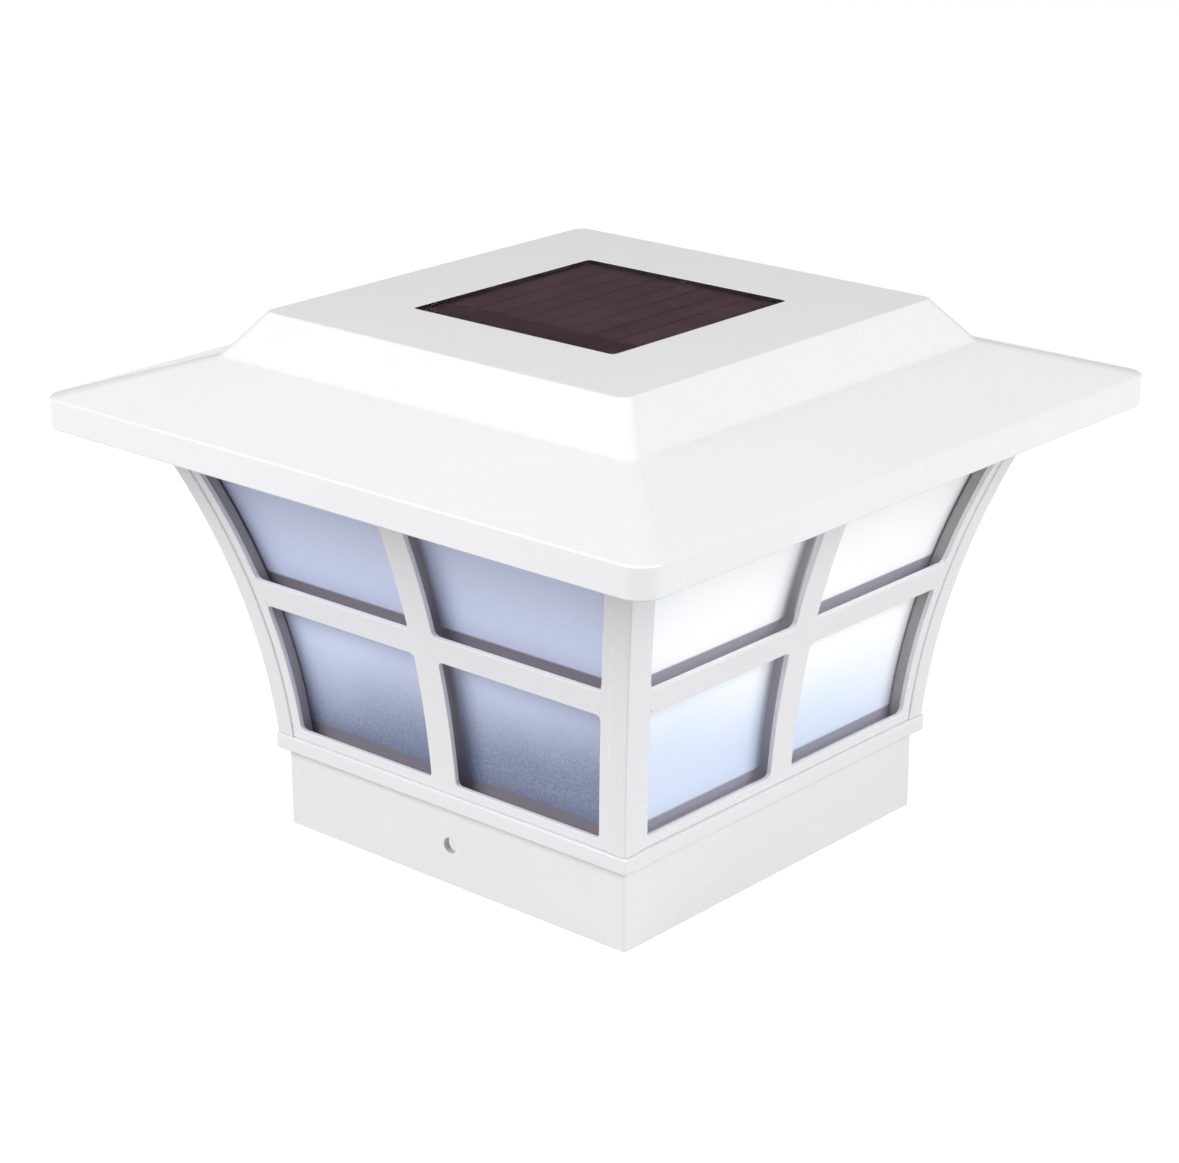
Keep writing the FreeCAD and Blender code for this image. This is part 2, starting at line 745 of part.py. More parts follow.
def grille_outline(sketch):
    """The grille's edge, with two tabs at its foot and two at its head."""
    low, high = ledge_top, ring_bottom
    room = S.post_face + S.fit_gap
    foot = low - S.groove_depth + S.fit_gap
    head = high + S.groove_depth - S.fit_gap
    half = S.tab_width / 2
    middle = S.tab_offset
    at_low = shifted_flare(low, room)
    at_high = shifted_flare(high, room)
    outline(sketch, [
        (-at_low, low), (-middle - half, low), (-middle - half, foot), (-middle + half, foot),
        (-middle + half, low), (middle - half, low), (middle - half, foot),
        (middle + half, foot), (middle + half, low), (at_low, low, -S.flare_radius),
        (at_high, high), (middle + half, high), (middle + half, head), (middle - half, head),
        (middle - half, high), (-middle + half, high), (-middle + half, head),
        (-middle - half, head), (-middle - half, high), (-at_high, high, -S.flare_radius),
    ])


def four_faces(name, master):
    """The back piece as made, and its mirror images for the other three faces."""
    keep(f"{name}_back", master)
    keep(f"{name}_front", mirrored(f"{name}_f", master, (0, 1, 0)))
    keep(f"{name}_right", mirrored(f"{name}_r", master, (1, -1, 0)))
    keep(f"{name}_left", mirrored(f"{name}_l", master, (1, 1, 0)))


def make_window_grilles():
    """Four curved grilles, each with a crossbar and a muntin around four openings."""
    low = ledge_top - S.groove_depth
    high = ring_bottom + S.groove_depth
    shell = flared_slab("grille_shell", "YZ_Plane", low, high,
                        (grille_face, ZERO), (grille_back, ZERO))
    pattern = free_sketch("grille_pattern", "XZ_Plane")
    grille_outline(pattern)
    crossbar_low = ledge_top + S.crossbar_rise
    levels = (
        (ledge_top + S.sill_height, crossbar_low),
        (crossbar_low + S.crossbar_height, ring_bottom - S.head_height),
    )
    for bottom, top in levels:
        for side in (1, -1):
            window_opening(pattern, bottom, top, side)
    doc.recompute()
    punched = extrude(pattern, as_dim(REACH), symmetric=True)
    four_faces("window_grille", boolean("Common", "grille_master", shell, punched))


def make_window_panes():
    """Four frosted panes that follow the grilles, mitred where they meet."""
    low = ledge_top - S.groove_depth
    high = ring_bottom + S.groove_depth - S.fit_gap
    shell = flared_slab("pane_shell", "YZ_Plane", low, high,
                        (pane_face, ZERO), (pane_back, ZERO))
    mitre = free_sketch("pane_mitre", "XY_Plane", low - S.fit_gap)
    apex = S.fit_gap
    far = roof_half
    outline(mitre, [(ZERO, apex), (far, far + apex), (-far, far + apex)])
    wedge = extrude(mitre, S.window_height * 2)
    four_faces("window_pane", boolean("Common", "pane_master", shell, wedge))


def make_top_ring():
    """Ring that caps the posts, with grooves for panes and tabs in its underside."""
    body = start_body("top_ring_blank")
    plan = draw_on(body, "ring", ring_bottom)
    square(plan, top_ring_half)
    square(plan, top_ring_inner)
    pad(body, plan, S.top_ring_height)
    cut_top = ring_bottom + S.groove_depth
    groove = draw_on(body, "pane_groove", cut_top)
    square(groove, flare_at(cut_top, pane_face) + S.fit_gap)
    square(groove, flare_at(ring_bottom, pane_back) - S.fit_gap)
    pocket(body, groove, S.groove_depth)
    slots = draw_on(body, "tab_slots", cut_top)
    tab_slots(slots, flare_at(ring_bottom, grille_back), flare_at(cut_top, grille_face))
    pocket(body, slots, S.groove_depth)
    holes = [
        screw_hole(f"top_hole_{index}", x, y, seat, ring_bottom - S.fit_gap,
                   ring_bottom - S.top_ring_height, down=True)
        for index, (x, y) in enumerate(four_corners(top_ring_half - S.ring_screw_inset))
    ]
    keep("top_ring", boolean("Cut", "top_ring_drilled", body, group("top_holes", holes)))


def make_lantern_screws():
    """The three sets of screws that hold the lantern together."""
    sets = (
        ("collar_screws", S.boss_offset, S.collar_height - S.collar_plate,
         S.collar_screw_length, False),
        ("post_screws", ledge_half - S.post_screw_inset, S.collar_height,
         S.post_screw_length, False),
        ("ring_screws", top_ring_half - S.ring_screw_inset, seat, S.ring_screw_length, True),
    )
    for name, offset, head, length, down in sets:
        members = [
            screw(f"{name}_{index}", x, y, head, length, down)
            for index, (x, y) in enumerate(four_corners(offset))
        ]
        keep(name, group(name + "_set", members))


# ---- Roof ---------------------------------------------------------------------------------

def roof_sections(inner):
    """Height, half width and corner round of the roof's shell at each level."""
    wall = S.roof_wall
    brim_run = roof_half - crease_half
    slope_run = crease_half - plateau_half
    brim_length = root(brim_run * brim_run + S.brim_rise * S.brim_rise)
    slope_length = root(slope_run * slope_run + S.slope_rise * S.slope_rise)
    if not inner:
        soft_rise = S.edge_round * S.brim_rise / brim_run
        return [
            (fascia_bottom, roof_half, S.fascia_corner),
            (fascia_top - S.edge_round, roof_half, S.fascia_corner),
            (fascia_top + soft_rise, roof_half - S.edge_round, S.fascia_corner - S.edge_round),
            (crease_height, crease_half, S.crease_corner),
            (plateau_height - S.plateau_round,
             plateau_half + S.plateau_round * slope_run / S.slope_rise, S.plateau_corner),
            (plateau_height, plateau_half - S.plateau_round,
             S.plateau_corner - S.plateau_round),
        ]
    brim_slope = S.brim_rise / brim_run
    slope_shift = wall * slope_length / S.slope_rise
    brim_drop = wall * brim_length / brim_run
    inner_fascia_top = fascia_top - brim_drop + wall * brim_slope
    lean = slope_run / S.slope_rise
    # where the inside of the steep slope meets the inside of the brim
    fall = (brim_drop - slope_shift * brim_slope) / (1 - lean * brim_slope)
    inner_height = crease_height - fall
    inner_crease = crease_half - slope_shift + lean * fall
    inner_top = plateau_height - wall
    inner_top_half = plateau_half - slope_shift + lean * wall
    return [
        (fascia_bottom - wall, roof_half - wall, S.fascia_corner - wall),
        (inner_fascia_top, roof_half - wall, S.fascia_corner - wall),
        (inner_height, inner_crease, S.crease_corner - wall / 2),
        (inner_top, inner_top_half, S.plateau_corner - wall / 2),
    ]


def square_tube(name, outer, inner, low, high):
    """A square wall about the middle."""
    outside = block(name + "_outside", (-outer, outer), (-outer, outer), (low, high))
    inside = block(name + "_inside", (-inner, inner), (-inner, inner),
                   (low - S.roof_wall, high + S.roof_wall))
    return boolean("Cut", name, outside, inside)


def make_roof_shell():
    """Moulded roof: tray for the panel, skirt, shoulder, ribs and screw bosses inside."""
    outer = loft("roof_outer", roof_sections(False))
    inner = loft("roof_inner", roof_sections(True))
    shell = boolean("Cut", "roof_hollow", outer, inner)
    tray = block("roof_tray", (-tray_half, tray_half), (-tray_half, tray_half),
                 (tray_bottom, plateau_height - S.roof_wall / 2))
    skirt = square_tube("roof_skirt", skirt_outer, skirt_inner, seat - S.skirt_drop,
                        crease_height)
    shoulder = square_tube("roof_shoulder", skirt_outer + S.shoulder_width,
                           skirt_outer - S.skirt_wall / 2, seat, seat + S.shoulder_height)
    inside = [tray, skirt, shoulder]
    half_rib = S.rib_thickness / 2
    low = seat + S.rib_lift
    for index in (-1, 0, 1):
        middle = index * S.rib_spacing
        across = (middle - half_rib, middle + half_rib)
        for side in (-1, 1):
            near, far = skirt_outer - S.skirt_wall / 2, roof_half
            span = (near, far) if side > 0 else (-far, -near)
            tag = f"{index + 1}_{side + 1}"
            inside.append(block(f"rib_x_{tag}", span, across, (low, crease_height)))
            inside.append(block(f"rib_y_{tag}", across, span, (low, crease_height)))
    for index, (x, y) in enumerate(four_corners(S.roof_boss_offset)):
        inside.append(rod(f"roof_boss_{index}", x, y, (light_plate_top, plateau_height),
                          S.roof_boss_radius))
    trimmed = boolean("Common", "roof_inside", outer, fuse("roof_ribwork", inside))
    body = fuse("roof_body", [shell, trimmed])
    tools = [
        block("panel_recess", (-recess_half, recess_half), (-recess_half, recess_half),
              (recess_floor, plateau_height + S.roof_wall)),
        rod("lead_hole", ZERO, ZERO, (tray_bottom - S.roof_wall, plateau_height),
            S.lead_hole_radius),
    ]
    pilot_end = light_plate_bottom + S.plate_screw_length + S.fit_gap
    for index, (x, y) in enumerate(four_corners(S.roof_boss_offset)):
        tools.append(rod(f"roof_pilot_{index}", x, y, (light_plate_bottom, pilot_end),
                         S.screw_radius + S.screw_fit))
    keep("roof_shell", boolean("Cut", "roof_drilled", body, group("roof_tools", tools)))


def make_solar_panel():
    """Gasket, backing board, strips of cell and clear cover, stacked in the recess."""
    gasket = start_body("panel_gasket")
    ring = draw_on(gasket, "ring", recess_floor)
    square(ring, panel_half)
    square(ring, panel_half - S.gasket_width)
    pad(gasket, ring, S.gasket_thickness)
    keep("panel_gasket", gasket)
    for name, low, thickness in (("solar_backing", backing_bottom, S.backing_thickness),
                                 ("solar_glass", glass_bottom, S.glass_thickness)):
        board = start_body(name)
        plan = draw_on(board, "plan", low)
        square(plan, panel_half)
        pad(board, plan, thickness)
        keep(name, board)
    width = S.panel_width - 2 * S.cell_side_margin
    pitch = (width + S.cell_gap) / CELL_COUNT
    front = -panel_half + S.cell_front_margin
    back = panel_half - S.cell_back_margin
    cells = []
    for index in range(CELL_COUNT):
        left = -panel_half + S.cell_side_margin + index * pitch
        cells.append(block(f"cell_{index}", (left, left + pitch - S.cell_gap), (front, back),
                           (cell_bottom, glass_bottom)))
    keep("solar_cells", group("cell_set", cells))


# ---- Light plate and what it carries --------------------------------------------------------

def make_light_plate():
    """Plate that closes the roof, with the battery well and standoffs moulded on top."""
    body = start_body("light_plate_blank")
    plan = draw_on(body, "plan", light_plate_bottom)
    square(plan, light_plate_half)
    pad(body, plan, S.light_plate_thickness)
    wall = S.well_wall
    well = draw_on(body, "well", light_plate_top)
    rectangle(well, -well_half - wall, well_half + wall, S.well_front - wall, well_back + wall)
    pad(body, well, well_top - light_plate_top)
    room = draw_on(body, "well_room", well_ceiling)
    rectangle(room, -well_half, well_half, S.well_front, well_back)
    pocket(body, room, well_ceiling - light_plate_bottom)
    tags = draw_on(body, "tag_slots", well_top)
    half = S.tag_width / 2 + S.fit_gap
    inner = battery_end - S.fit_gap
    rectangle(tags, inner, well_half, battery_axis_y - half, battery_axis_y + half)
    rectangle(tags, -well_half, -inner, battery_axis_y - half, battery_axis_y + half)
    pocket(body, tags, wall)
    standoffs = draw_on(body, "standoffs", light_plate_top)
    for y in board_screws_y:
        for x in (board_screw_x, -board_screw_x):
            disc(standoffs, x, y, S.standoff_radius)
    pad(body, standoffs, S.standoff_height)
    dome = draw_on(body, "dome_hole", light_plate_top)
    disc(dome, ZERO, ZERO, S.dome_radius + S.dome_fit)
    pocket(body, dome, S.light_plate_thickness)
    slot = draw_on(body, "switch_slot", light_plate_top)
    reach = S.stem_width / 2 + S.door_gap
    rectangle(slot, slider_x - reach, slider_x + S.switch_travel + reach,
              switch_y - reach, switch_y + reach)
    pocket(body, slot, S.light_plate_thickness)
    tools = []
    pilot_end = board_top - S.board_screw_length
    for index, y in enumerate(board_screws_y):
        for side, x in enumerate((board_screw_x, -board_screw_x)):
            tools.append(rod(f"standoff_pilot_{index}_{side}", x, y,
                             (pilot_end - S.fit_gap, board_top), S.screw_radius + S.screw_fit))
    for index, (x, y) in enumerate(four_corners(S.roof_boss_offset)):
        tools.append(screw_hole(f"plate_hole_{index}", x, y, light_plate_bottom,
                                light_plate_top + S.fit_gap,
                                light_plate_top + S.light_plate_thickness))
    reach_x = well_half + S.hinge_pin_length + S.screw_fit
    sideways = Rotation(Vector(0, 1, 0), 90)
    bore = doc.addObject("Part::Cylinder", "hinge_bore")
    bore.Placement = Placement(Vector(), sideways)
    bind(bore, "Radius", S.hinge_pin_radius + S.hinge_fit)
    bind(bore, "Height", 2 * reach_x)
    bind(bore, "Placement.Base.x", -reach_x)
    bind(bore, "Placement.Base.y", hinge_y)
    bind(bore, "Placement.Base.z", hinge_z)
    tools.append(bore)
    keep("light_plate", boolean("Cut", "plate_drilled", body, group("plate_tools", tools)))
    members = [
        screw(f"plate_screw_{index}", x, y, light_plate_bottom, S.plate_screw_length)
        for index, (x, y) in enumerate(four_corners(S.roof_boss_offset))
    ]
    keep("plate_screws", group("plate_screw_set", members))


def make_battery_door():
    """Door with a hinge barrel along its back edge and a pin at each end of it."""
    leaf_x = well_half - S.door_gap
    leaf = block("door_leaf", (-leaf_x, leaf_x), (S.well_front + S.door_gap, hinge_y),
                 (light_plate_bottom, light_plate_bottom + S.door_thickness))
    barrel = doc.addObject("Part::Cylinder", "door_barrel")
    pins = doc.addObject("Part::Cylinder", "door_pins")
    for rod_along, radius, reach in (
            (barrel, S.knuckle_radius, leaf_x),
            (pins, S.hinge_pin_radius, well_half + S.hinge_pin_length)):
        rod_along.Placement = Placement(Vector(), Rotation(Vector(0, 1, 0), 90))
        bind(rod_along, "Radius", radius)
        bind(rod_along, "Height", 2 * reach)
        bind(rod_along, "Placement.Base.x", -reach)
        bind(rod_along, "Placement.Base.y", hinge_y)
        bind(rod_along, "Placement.Base.z", hinge_z)
    solid = fuse("door_solid", [leaf, barrel, pins])
    notch_y = S.well_front + S.door_gap
    notch = rod("door_notch", ZERO, notch_y - S.tab_width / 2,
                (light_plate_bottom - S.door_gap, light_plate_bottom + S.door_thickness / 2),
                S.tab_width)
    keep("battery_door", boolean("Cut", "door_notched", solid, notch))


def make_battery():
    """Rechargeable cell, nub to the right."""
    body = start_body("battery")
    nub_start = battery_end - S.nub_length
    back = nub_start - S.battery_length
    ease = S.nub_length / 2
    turned(body, "profile", [
        (back, ZERO), (back, S.battery_radius - ease), (back + ease, S.battery_radius),
        (nub_start - ease, S.battery_radius), (nub_start, S.battery_radius - ease),
        (nub_start, S.nub_radius), (battery_end, S.nub_radius), (battery_end, ZERO),
    ], axis="H_Axis")
    bind(body, "Placement.Base.y", battery_axis_y)
    bind(body, "Placement.Base.z", battery_axis_z)
    keep("battery", body)


def contact_strip(name, side):
    """Contact strip against an end of the well, with a solder tag through its roof."""
    low, high = (battery_end, well_half) if side > 0 else (-well_half, -battery_end)
    half = S.contact_width / 2
    strip = block(name + "_strip", (low, high), (battery_axis_y - half, battery_axis_y + half),
                  (battery_axis_z - half, well_ceiling))
    tag_half = S.tag_width / 2
    tag = block(name + "_tag", (low, high),
                (battery_axis_y - tag_half, battery_axis_y + tag_half),
                (well_ceiling - S.contact_thickness, well_top + S.tag_rise))
    return fuse(name + "_sheet", [strip, tag])


def arc_from(start, heading, end):
    """The arc that leaves a point along a heading and reaches another point."""
    chord = end - start
    along = Vector(chord).normalize()
    lean = heading.getAngle(along)
    aside = (heading - along * heading.dot(along)).normalize()
    middle = (start + end) * 0.5 + aside * (chord.Length / 2 * math.tan(lean / 2))
    return Part.Arc(start, middle, end).toShape()


def two_arcs(start, heading, end, arriving):
    """Two smoothly joined arcs from a point and heading to another point and heading."""
    across = end - start
    turned_by = 2 * (1 - heading.dot(arriving))
    pull = across.dot(heading + arriving)
    reach = (math.sqrt(pull * pull + turned_by * across.dot(across)) - pull) / turned_by
    join = (start + end + (heading - arriving) * reach) * 0.5
    passing = ((end - arriving * reach) - (start + heading * reach)).normalize()
    return [arc_from(start, heading, join), arc_from(join, passing, end)]


def coil_spring(origin, span, foot_radius, tip_radius, wire):
    """A conical coil along +X: a round wire on two smooth arcs for each half turn."""
    steps = SPRING_TURNS * 2
    sweep = 2 * math.pi * SPRING_TURNS
    fall = tip_radius - foot_radius

    def station(share):
        angle = sweep * share
        radius = foot_radius + fall * share
        cos, sin = math.cos(angle), math.sin(angle)
        place = origin + Vector(span * share, radius * cos, radius * sin)
        heading = Vector(span, fall * cos - radius * sweep * sin, fall * sin + radius * sweep * cos)
        return place, heading.normalize()

    edges = []
    for step in range(steps):
        edges += two_arcs(*station(step / steps), *station((step + 1) / steps))
    place, heading = station(0)
    ring = Part.Wire(Part.makeCircle(wire, place, heading))
    return Part.Wire(edges).makePipeShell([ring], True, False)


def make_contacts():
    """Flat contact at the nub and conical spring contact at the other end."""
    keep("battery_contact_plate", contact_strip("plus", 1))
    sheet_metal = contact_strip("minus", -1)
    wire = S.spring_wire.value / 2
    foot = -battery_end.value
    tip = battery_end.value - S.nub_length.value - S.battery_length.value
    spring = doc.addObject("Part::Feature", "spring_coil")
    spring.Shape = coil_spring(
        Vector(foot + wire / 2, battery_axis_y.value, battery_axis_z.value),
        tip - foot - 1.5 * wire, S.spring_foot_radius.value, S.spring_tip_radius.value, wire)
    keep("battery_contact_spring", fuse("spring_contact", [sheet_metal, spring]))


def make_circuit_board():
    """Board with its screws, diodes, driver chip and choke coil."""
    body = start_body("circuit_board")
    plan = draw_on(body, "plan", board_bottom)
    rectangle(plan, -board_half, board_half, -S.board_front, S.board_back)
    for y in board_screws_y:
        for x in (board_screw_x, -board_screw_x):
            disc(plan, x, y, S.screw_radius + S.screw_clearance)
    pad(body, plan, S.board_thickness)
    keep("circuit_board", body)

    screws = []
    for row, y in enumerate(board_screws_y):
        for side, x in enumerate((board_screw_x, -board_screw_x)):
            one = start_body(f"board_screw_{row}_{side}")
            head = board_top + S.screw_head_height
            tip = board_top - S.board_screw_length
            turned(one, "profile", [
                (ZERO, head), (S.screw_head_radius - S.screw_clearance, head),
                (S.screw_head_radius, board_top), (S.screw_radius, board_top),
                (S.screw_radius, tip), (ZERO, tip),
            ])
            bind(one, "Placement.Base.x", x)
            bind(one, "Placement.Base.y", y)
            screws.append(one)
    keep("board_screws", group("board_screw_set", screws))

    diodes = []
    half = S.led_side / 2
    for index, (x, y) in enumerate(four_corners(S.led_spacing / 2)):
        base = block(f"led_base_{index}", (x - half, x + half), (y - half, y + half),
                     (board_bottom - S.led_height / 2, board_bottom))
        lens = rod(f"led_lens_{index}", x, y,
                   (board_bottom - S.led_height, board_bottom - S.led_height / 2), half * 0.8)
        diodes.append(fuse(f"led_{index}", [base, lens]))
    keep("leds", group("led_set", diodes))

    chip_x, chip_y = -board_half / 2, -S.board_front / 2 - S.chip_width
    pin = S.pin_pitch / 4
    parts = [block("chip_body", (chip_x, chip_x + S.chip_length), (chip_y, chip_y + S.chip_width),
                   (board_top + pin, board_top + S.chip_height))]
    for index in range(4):
        middle = chip_x + S.chip_length / 2 + (index - 1.5) * S.pin_pitch
        parts.append(block(f"chip_pin_{index}", (middle - pin, middle + pin),
                           (chip_y - 2 * pin, chip_y + S.chip_width + 2 * pin),
                           (board_top, board_top + 2 * pin)))
    keep("driver_chip", fuse("driver_chip_solid", parts))

    choke = start_body("choke_coil")
    flange = S.choke_height / 5
    waist = S.choke_radius - flange / 2
    low = board_top
    turned(choke, "profile", [
        (ZERO, low), (S.choke_radius, low), (S.choke_radius, low + flange),
        (waist, low + flange), (waist, low + S.choke_height - flange),
        (S.choke_radius, low + S.choke_height - flange),
        (S.choke_radius, low + S.choke_height), (ZERO, low + S.choke_height),
    ])
    bind(choke, "Placement.Base.x", S.switch_place / 2)
    bind(choke, "Placement.Base.y", -S.board_front / 2 - S.choke_radius)
    keep("choke_coil", choke)


def make_led_dome():
    """Clear dome that drops into the light plate from above, held by its flange."""
    body = start_body("led_dome")
    level = light_plate_top
    inner = S.dome_radius - S.dome_wall
    turned(body, "profile", [
        (ZERO, level - inner, inner), (inner, level),
        (inner, level + S.dome_wall), (S.dome_flange, level + S.dome_wall),
        (S.dome_flange, level), (S.dome_radius, level, -S.dome_radius),
        (ZERO, level - S.dome_radius),
    ])
    keep("led_dome", body)


def make_switch():
    """Slide switch under the board, and its slider with a finger pad below the plate."""
    centre = S.switch_place
    half_length, half_width = S.switch_length / 2, S.switch_width / 2
    foot_low = slider_roof - S.slider_height
    fit = S.slider_fit
    case = block("switch_case", (centre - half_length, centre + half_length),
                 (switch_y - half_width, switch_y + half_width), (switch_bottom, board_bottom))
    foot = S.slider_length / 2
    cavity = block("switch_cavity", (slider_x - foot - fit, slider_x + S.switch_travel + foot + fit),
                   (switch_y - S.slider_width / 2 - fit, switch_y + S.slider_width / 2 + fit),
                   (foot_low - fit, slider_roof + fit))
    stem = S.stem_width / 2
    mouth = block("switch_mouth", (slider_x - stem - fit, slider_x + S.switch_travel + stem + fit),
                  (switch_y - stem - fit, switch_y + stem + fit),
                  (switch_bottom - fit, foot_low))
    room = fuse("switch_room", [cavity, mouth])
    keep("switch_body", boolean("Cut", "switch_hollow", case, room))
    knob_top = light_plate_bottom - S.knob_clearance
    knob_low = knob_top - S.knob_height
    pieces = [
        block("slider_foot", (slider_x - foot, slider_x + foot),
              (switch_y - S.slider_width / 2, switch_y + S.slider_width / 2),
              (foot_low, slider_roof)),
        block("slider_stem", (slider_x - stem, slider_x + stem),
              (switch_y - stem, switch_y + stem), (knob_low, foot_low)),
        block("slider_pad", (slider_x - S.knob_length / 2, slider_x + S.knob_length / 2),
              (switch_y - S.knob_width / 2, switch_y + S.knob_width / 2),
              (knob_low, knob_top)),
    ]
    grip = S.knob_length / 5
    for index in (-1, 0, 1):
        middle = slider_x + index * grip
        pieces.append(block(f"slider_grip_{index + 1}", (middle - grip / 4, middle + grip / 4),
                            (switch_y - S.knob_width / 2, switch_y + S.knob_width / 2),
                            (knob_low - grip / 2, knob_low)))
    keep("switch_slider", fuse("slider_solid", pieces))


def lead(name, points):
    """A round wire along straight runs joined by arcs as large as the runs allow."""
    share = 0.42
    edges = []
    start = points[0]
    for before, corner, after in zip(points, points[1:], points[2:]):
        inward = (corner - before).normalize()
        outward = (after - corner).normalize()
        turn = inward.getAngle(outward)
        run = min((corner - before).Length, (after - corner).Length)
        reach = share * run
        entry = corner - inward * reach
        leave = corner + outward * reach
        sag = reach * math.tan(turn / 4)
        middle_way = (outward - inward).normalize()
        chord_middle = (entry + leave) * 0.5
        middle = chord_middle - middle_way * (sag * math.cos(turn / 2))
        edges.append(Part.LineSegment(start, entry).toShape())
        edges.append(Part.Arc(entry, middle, leave).toShape())
        start = leave
    edges.append(Part.LineSegment(start, points[-1]).toShape())
    path = Part.Wire(edges)
    radius = S.wire_radius.value
    ring = Part.Wire(Part.makeCircle(radius, points[0], points[1] - points[0]))
    tube = path.makePipeShell([ring], True, False)
    wire = doc.addObject("Part::Feature", name)
    wire.Shape = tube
    keep(name, wire)


def make_leads():
    """Leads from the panel and from the battery contacts down to the board."""
    rise = board_top.value
    hang = tray_bottom.value - S.choke_height.value
    spread = board_half.value / 2
    for name, side in (("panel_lead_red", 1), ("panel_lead_black", -1)):
        start_x = side * S.lead_hole_radius.value / 2
        end_y = -S.board_back.value / 2
        lead(name, [
            Vector(start_x, 0, backing_bottom.value), Vector(start_x, 0, hang),
            Vector(side * spread, end_y, hang - S.choke_height.value / 2),
            Vector(side * spread, end_y, rise),
        ])
    tag_height = well_top.value + S.tag_rise.value - S.wire_radius.value
    landing = S.board_back.value - S.board_margin.value
    for name, side in (("battery_lead_red", 1), ("battery_lead_black", -1)):
        bend_x = side * (board_screw_x.value - 2 * S.board_margin.value)
        lead(name, [
            Vector(side * battery_end.value, battery_axis_y.value, tag_height),
            Vector(bend_x, battery_axis_y.value, tag_height),
            Vector(bend_x, landing, tag_height), Vector(bend_x, landing, rise),
        ])


make_post_collar()
make_base_ring()
make_corner_posts()
make_window_grilles()
make_window_panes()
make_top_ring()
make_lantern_screws()
make_roof_shell()
make_solar_panel()
make_light_plate()
make_battery_door()
make_battery()
make_contacts()
make_circuit_board()
make_led_dome()
make_switch()
make_leads()
doc.recompute()

# ---- Check and write ------------------------------------------------------------------------

for thing in doc.Objects:
    if "Invalid" in thing.State or "Error" in thing.State:
        raise RuntimeError(f"{thing.Name} failed: {thing.State}")
os.makedirs("parts", exist_ok=True)
for name, thing in sub_parts.items():
    shape = thing.Shape
    if shape.isNull() or not shape.isValid() or shape.Volume <= 0:
        raise RuntimeError(f"{name} has no sound shape")
    print(f"{name}: {len(shape.Solids)} solid(s), {shape.Volume:.1f} mm3")
for name, thing in sub_parts.items():
    thing.Shape.exportStep(f"parts/{name}.step")
print(len(sub_parts), "sub-parts")
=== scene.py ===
"""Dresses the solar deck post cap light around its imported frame.

Metres throughout, in the frame's own axes: +Z is up, -Y is the front, and the collar's
bottom rim stands on the floor. Sizes are written in millimetres times MM.
"""

import logging
import math
from dataclasses import dataclass, field, replace
from enum import Enum
from functools import cache
from itertools import product
from typing import Callable, Iterable, Iterator

import bmesh
import bpy
from mathutils import Matrix, Vector

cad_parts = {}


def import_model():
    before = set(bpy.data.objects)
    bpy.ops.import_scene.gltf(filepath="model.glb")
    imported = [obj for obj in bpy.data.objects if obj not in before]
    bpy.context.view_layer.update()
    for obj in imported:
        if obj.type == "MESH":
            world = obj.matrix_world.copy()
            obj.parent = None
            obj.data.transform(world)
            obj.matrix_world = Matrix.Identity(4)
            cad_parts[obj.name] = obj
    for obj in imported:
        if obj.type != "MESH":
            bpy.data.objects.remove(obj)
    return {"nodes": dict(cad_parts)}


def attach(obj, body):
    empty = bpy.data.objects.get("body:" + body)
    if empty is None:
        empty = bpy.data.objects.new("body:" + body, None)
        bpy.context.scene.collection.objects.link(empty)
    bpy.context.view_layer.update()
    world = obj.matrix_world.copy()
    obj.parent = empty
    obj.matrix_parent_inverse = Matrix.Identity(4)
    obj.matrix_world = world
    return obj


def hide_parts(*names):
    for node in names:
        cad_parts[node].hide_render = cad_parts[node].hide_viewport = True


logging.basicConfig(level=logging.INFO, format="%(name)s: %(message)s")
LOG = logging.getLogger("post_cap_light")

MM = 0.001
TOUCH = 0.02 * MM
FINE = 0.002 * MM
QUARTER = 90.0
SHARP = 35.0  # edges sharper than this are rounded and shaded as edges, in degrees
BEND = 50.0  # the same on the flare, whose strips and mitres bend more

Test = Callable[[Vector, Vector], bool]
Colour = tuple[float, float, float]
Triple = tuple[float, float, float]
Socket = bpy.types.NodeSocket


class Element(Enum):
    """What an edit-mode selection picks."""

    VERT = "VERT"
    EDGE = "EDGE"
    FACE = "FACE"


class Side(Enum):
    """The lantern's four faces, anticlockwise from above, in quarter turns from the front."""

    FRONT = 0
    RIGHT = 1
    BACK = 2
    LEFT = 3

    @property
    def label(self) -> str:
        """The side's name in lower case."""
        return self.name.lower()


# ---- The bench: edit-mode modelling -------------------------------------------------------

def deselect_all() -> None:
    """Leaves edit mode and clears the selection."""
    if bpy.context.object is not None and bpy.context.object.mode != "OBJECT":
        bpy.ops.object.mode_set(mode="OBJECT")
    bpy.ops.object.select_all(action="DESELECT")


def take_up(obj: bpy.types.Object) -> None:
    """Makes one object the only selected and the active one.

    Args:
        obj: The object to work on.
    """
    deselect_all()
    obj.select_set(True)
    bpy.context.view_layer.objects.active = obj


def always(_place: Vector, _normal: Vector) -> bool:
    """Picks every element."""
    return True


def whereabouts(item: bmesh.types.BMVert | bmesh.types.BMEdge | bmesh.types.BMFace) -> tuple[Vector, Vector]:
    """An element's middle and its normal, or an edge's direction."""
    if isinstance(item, bmesh.types.BMVert):
        return item.co, item.normal
    if isinstance(item, bmesh.types.BMFace):
        return item.calc_center_median(), item.normal
    first, second = (vert.co for vert in item.verts)
    return (first + second) / 2, (second - first).normalized()


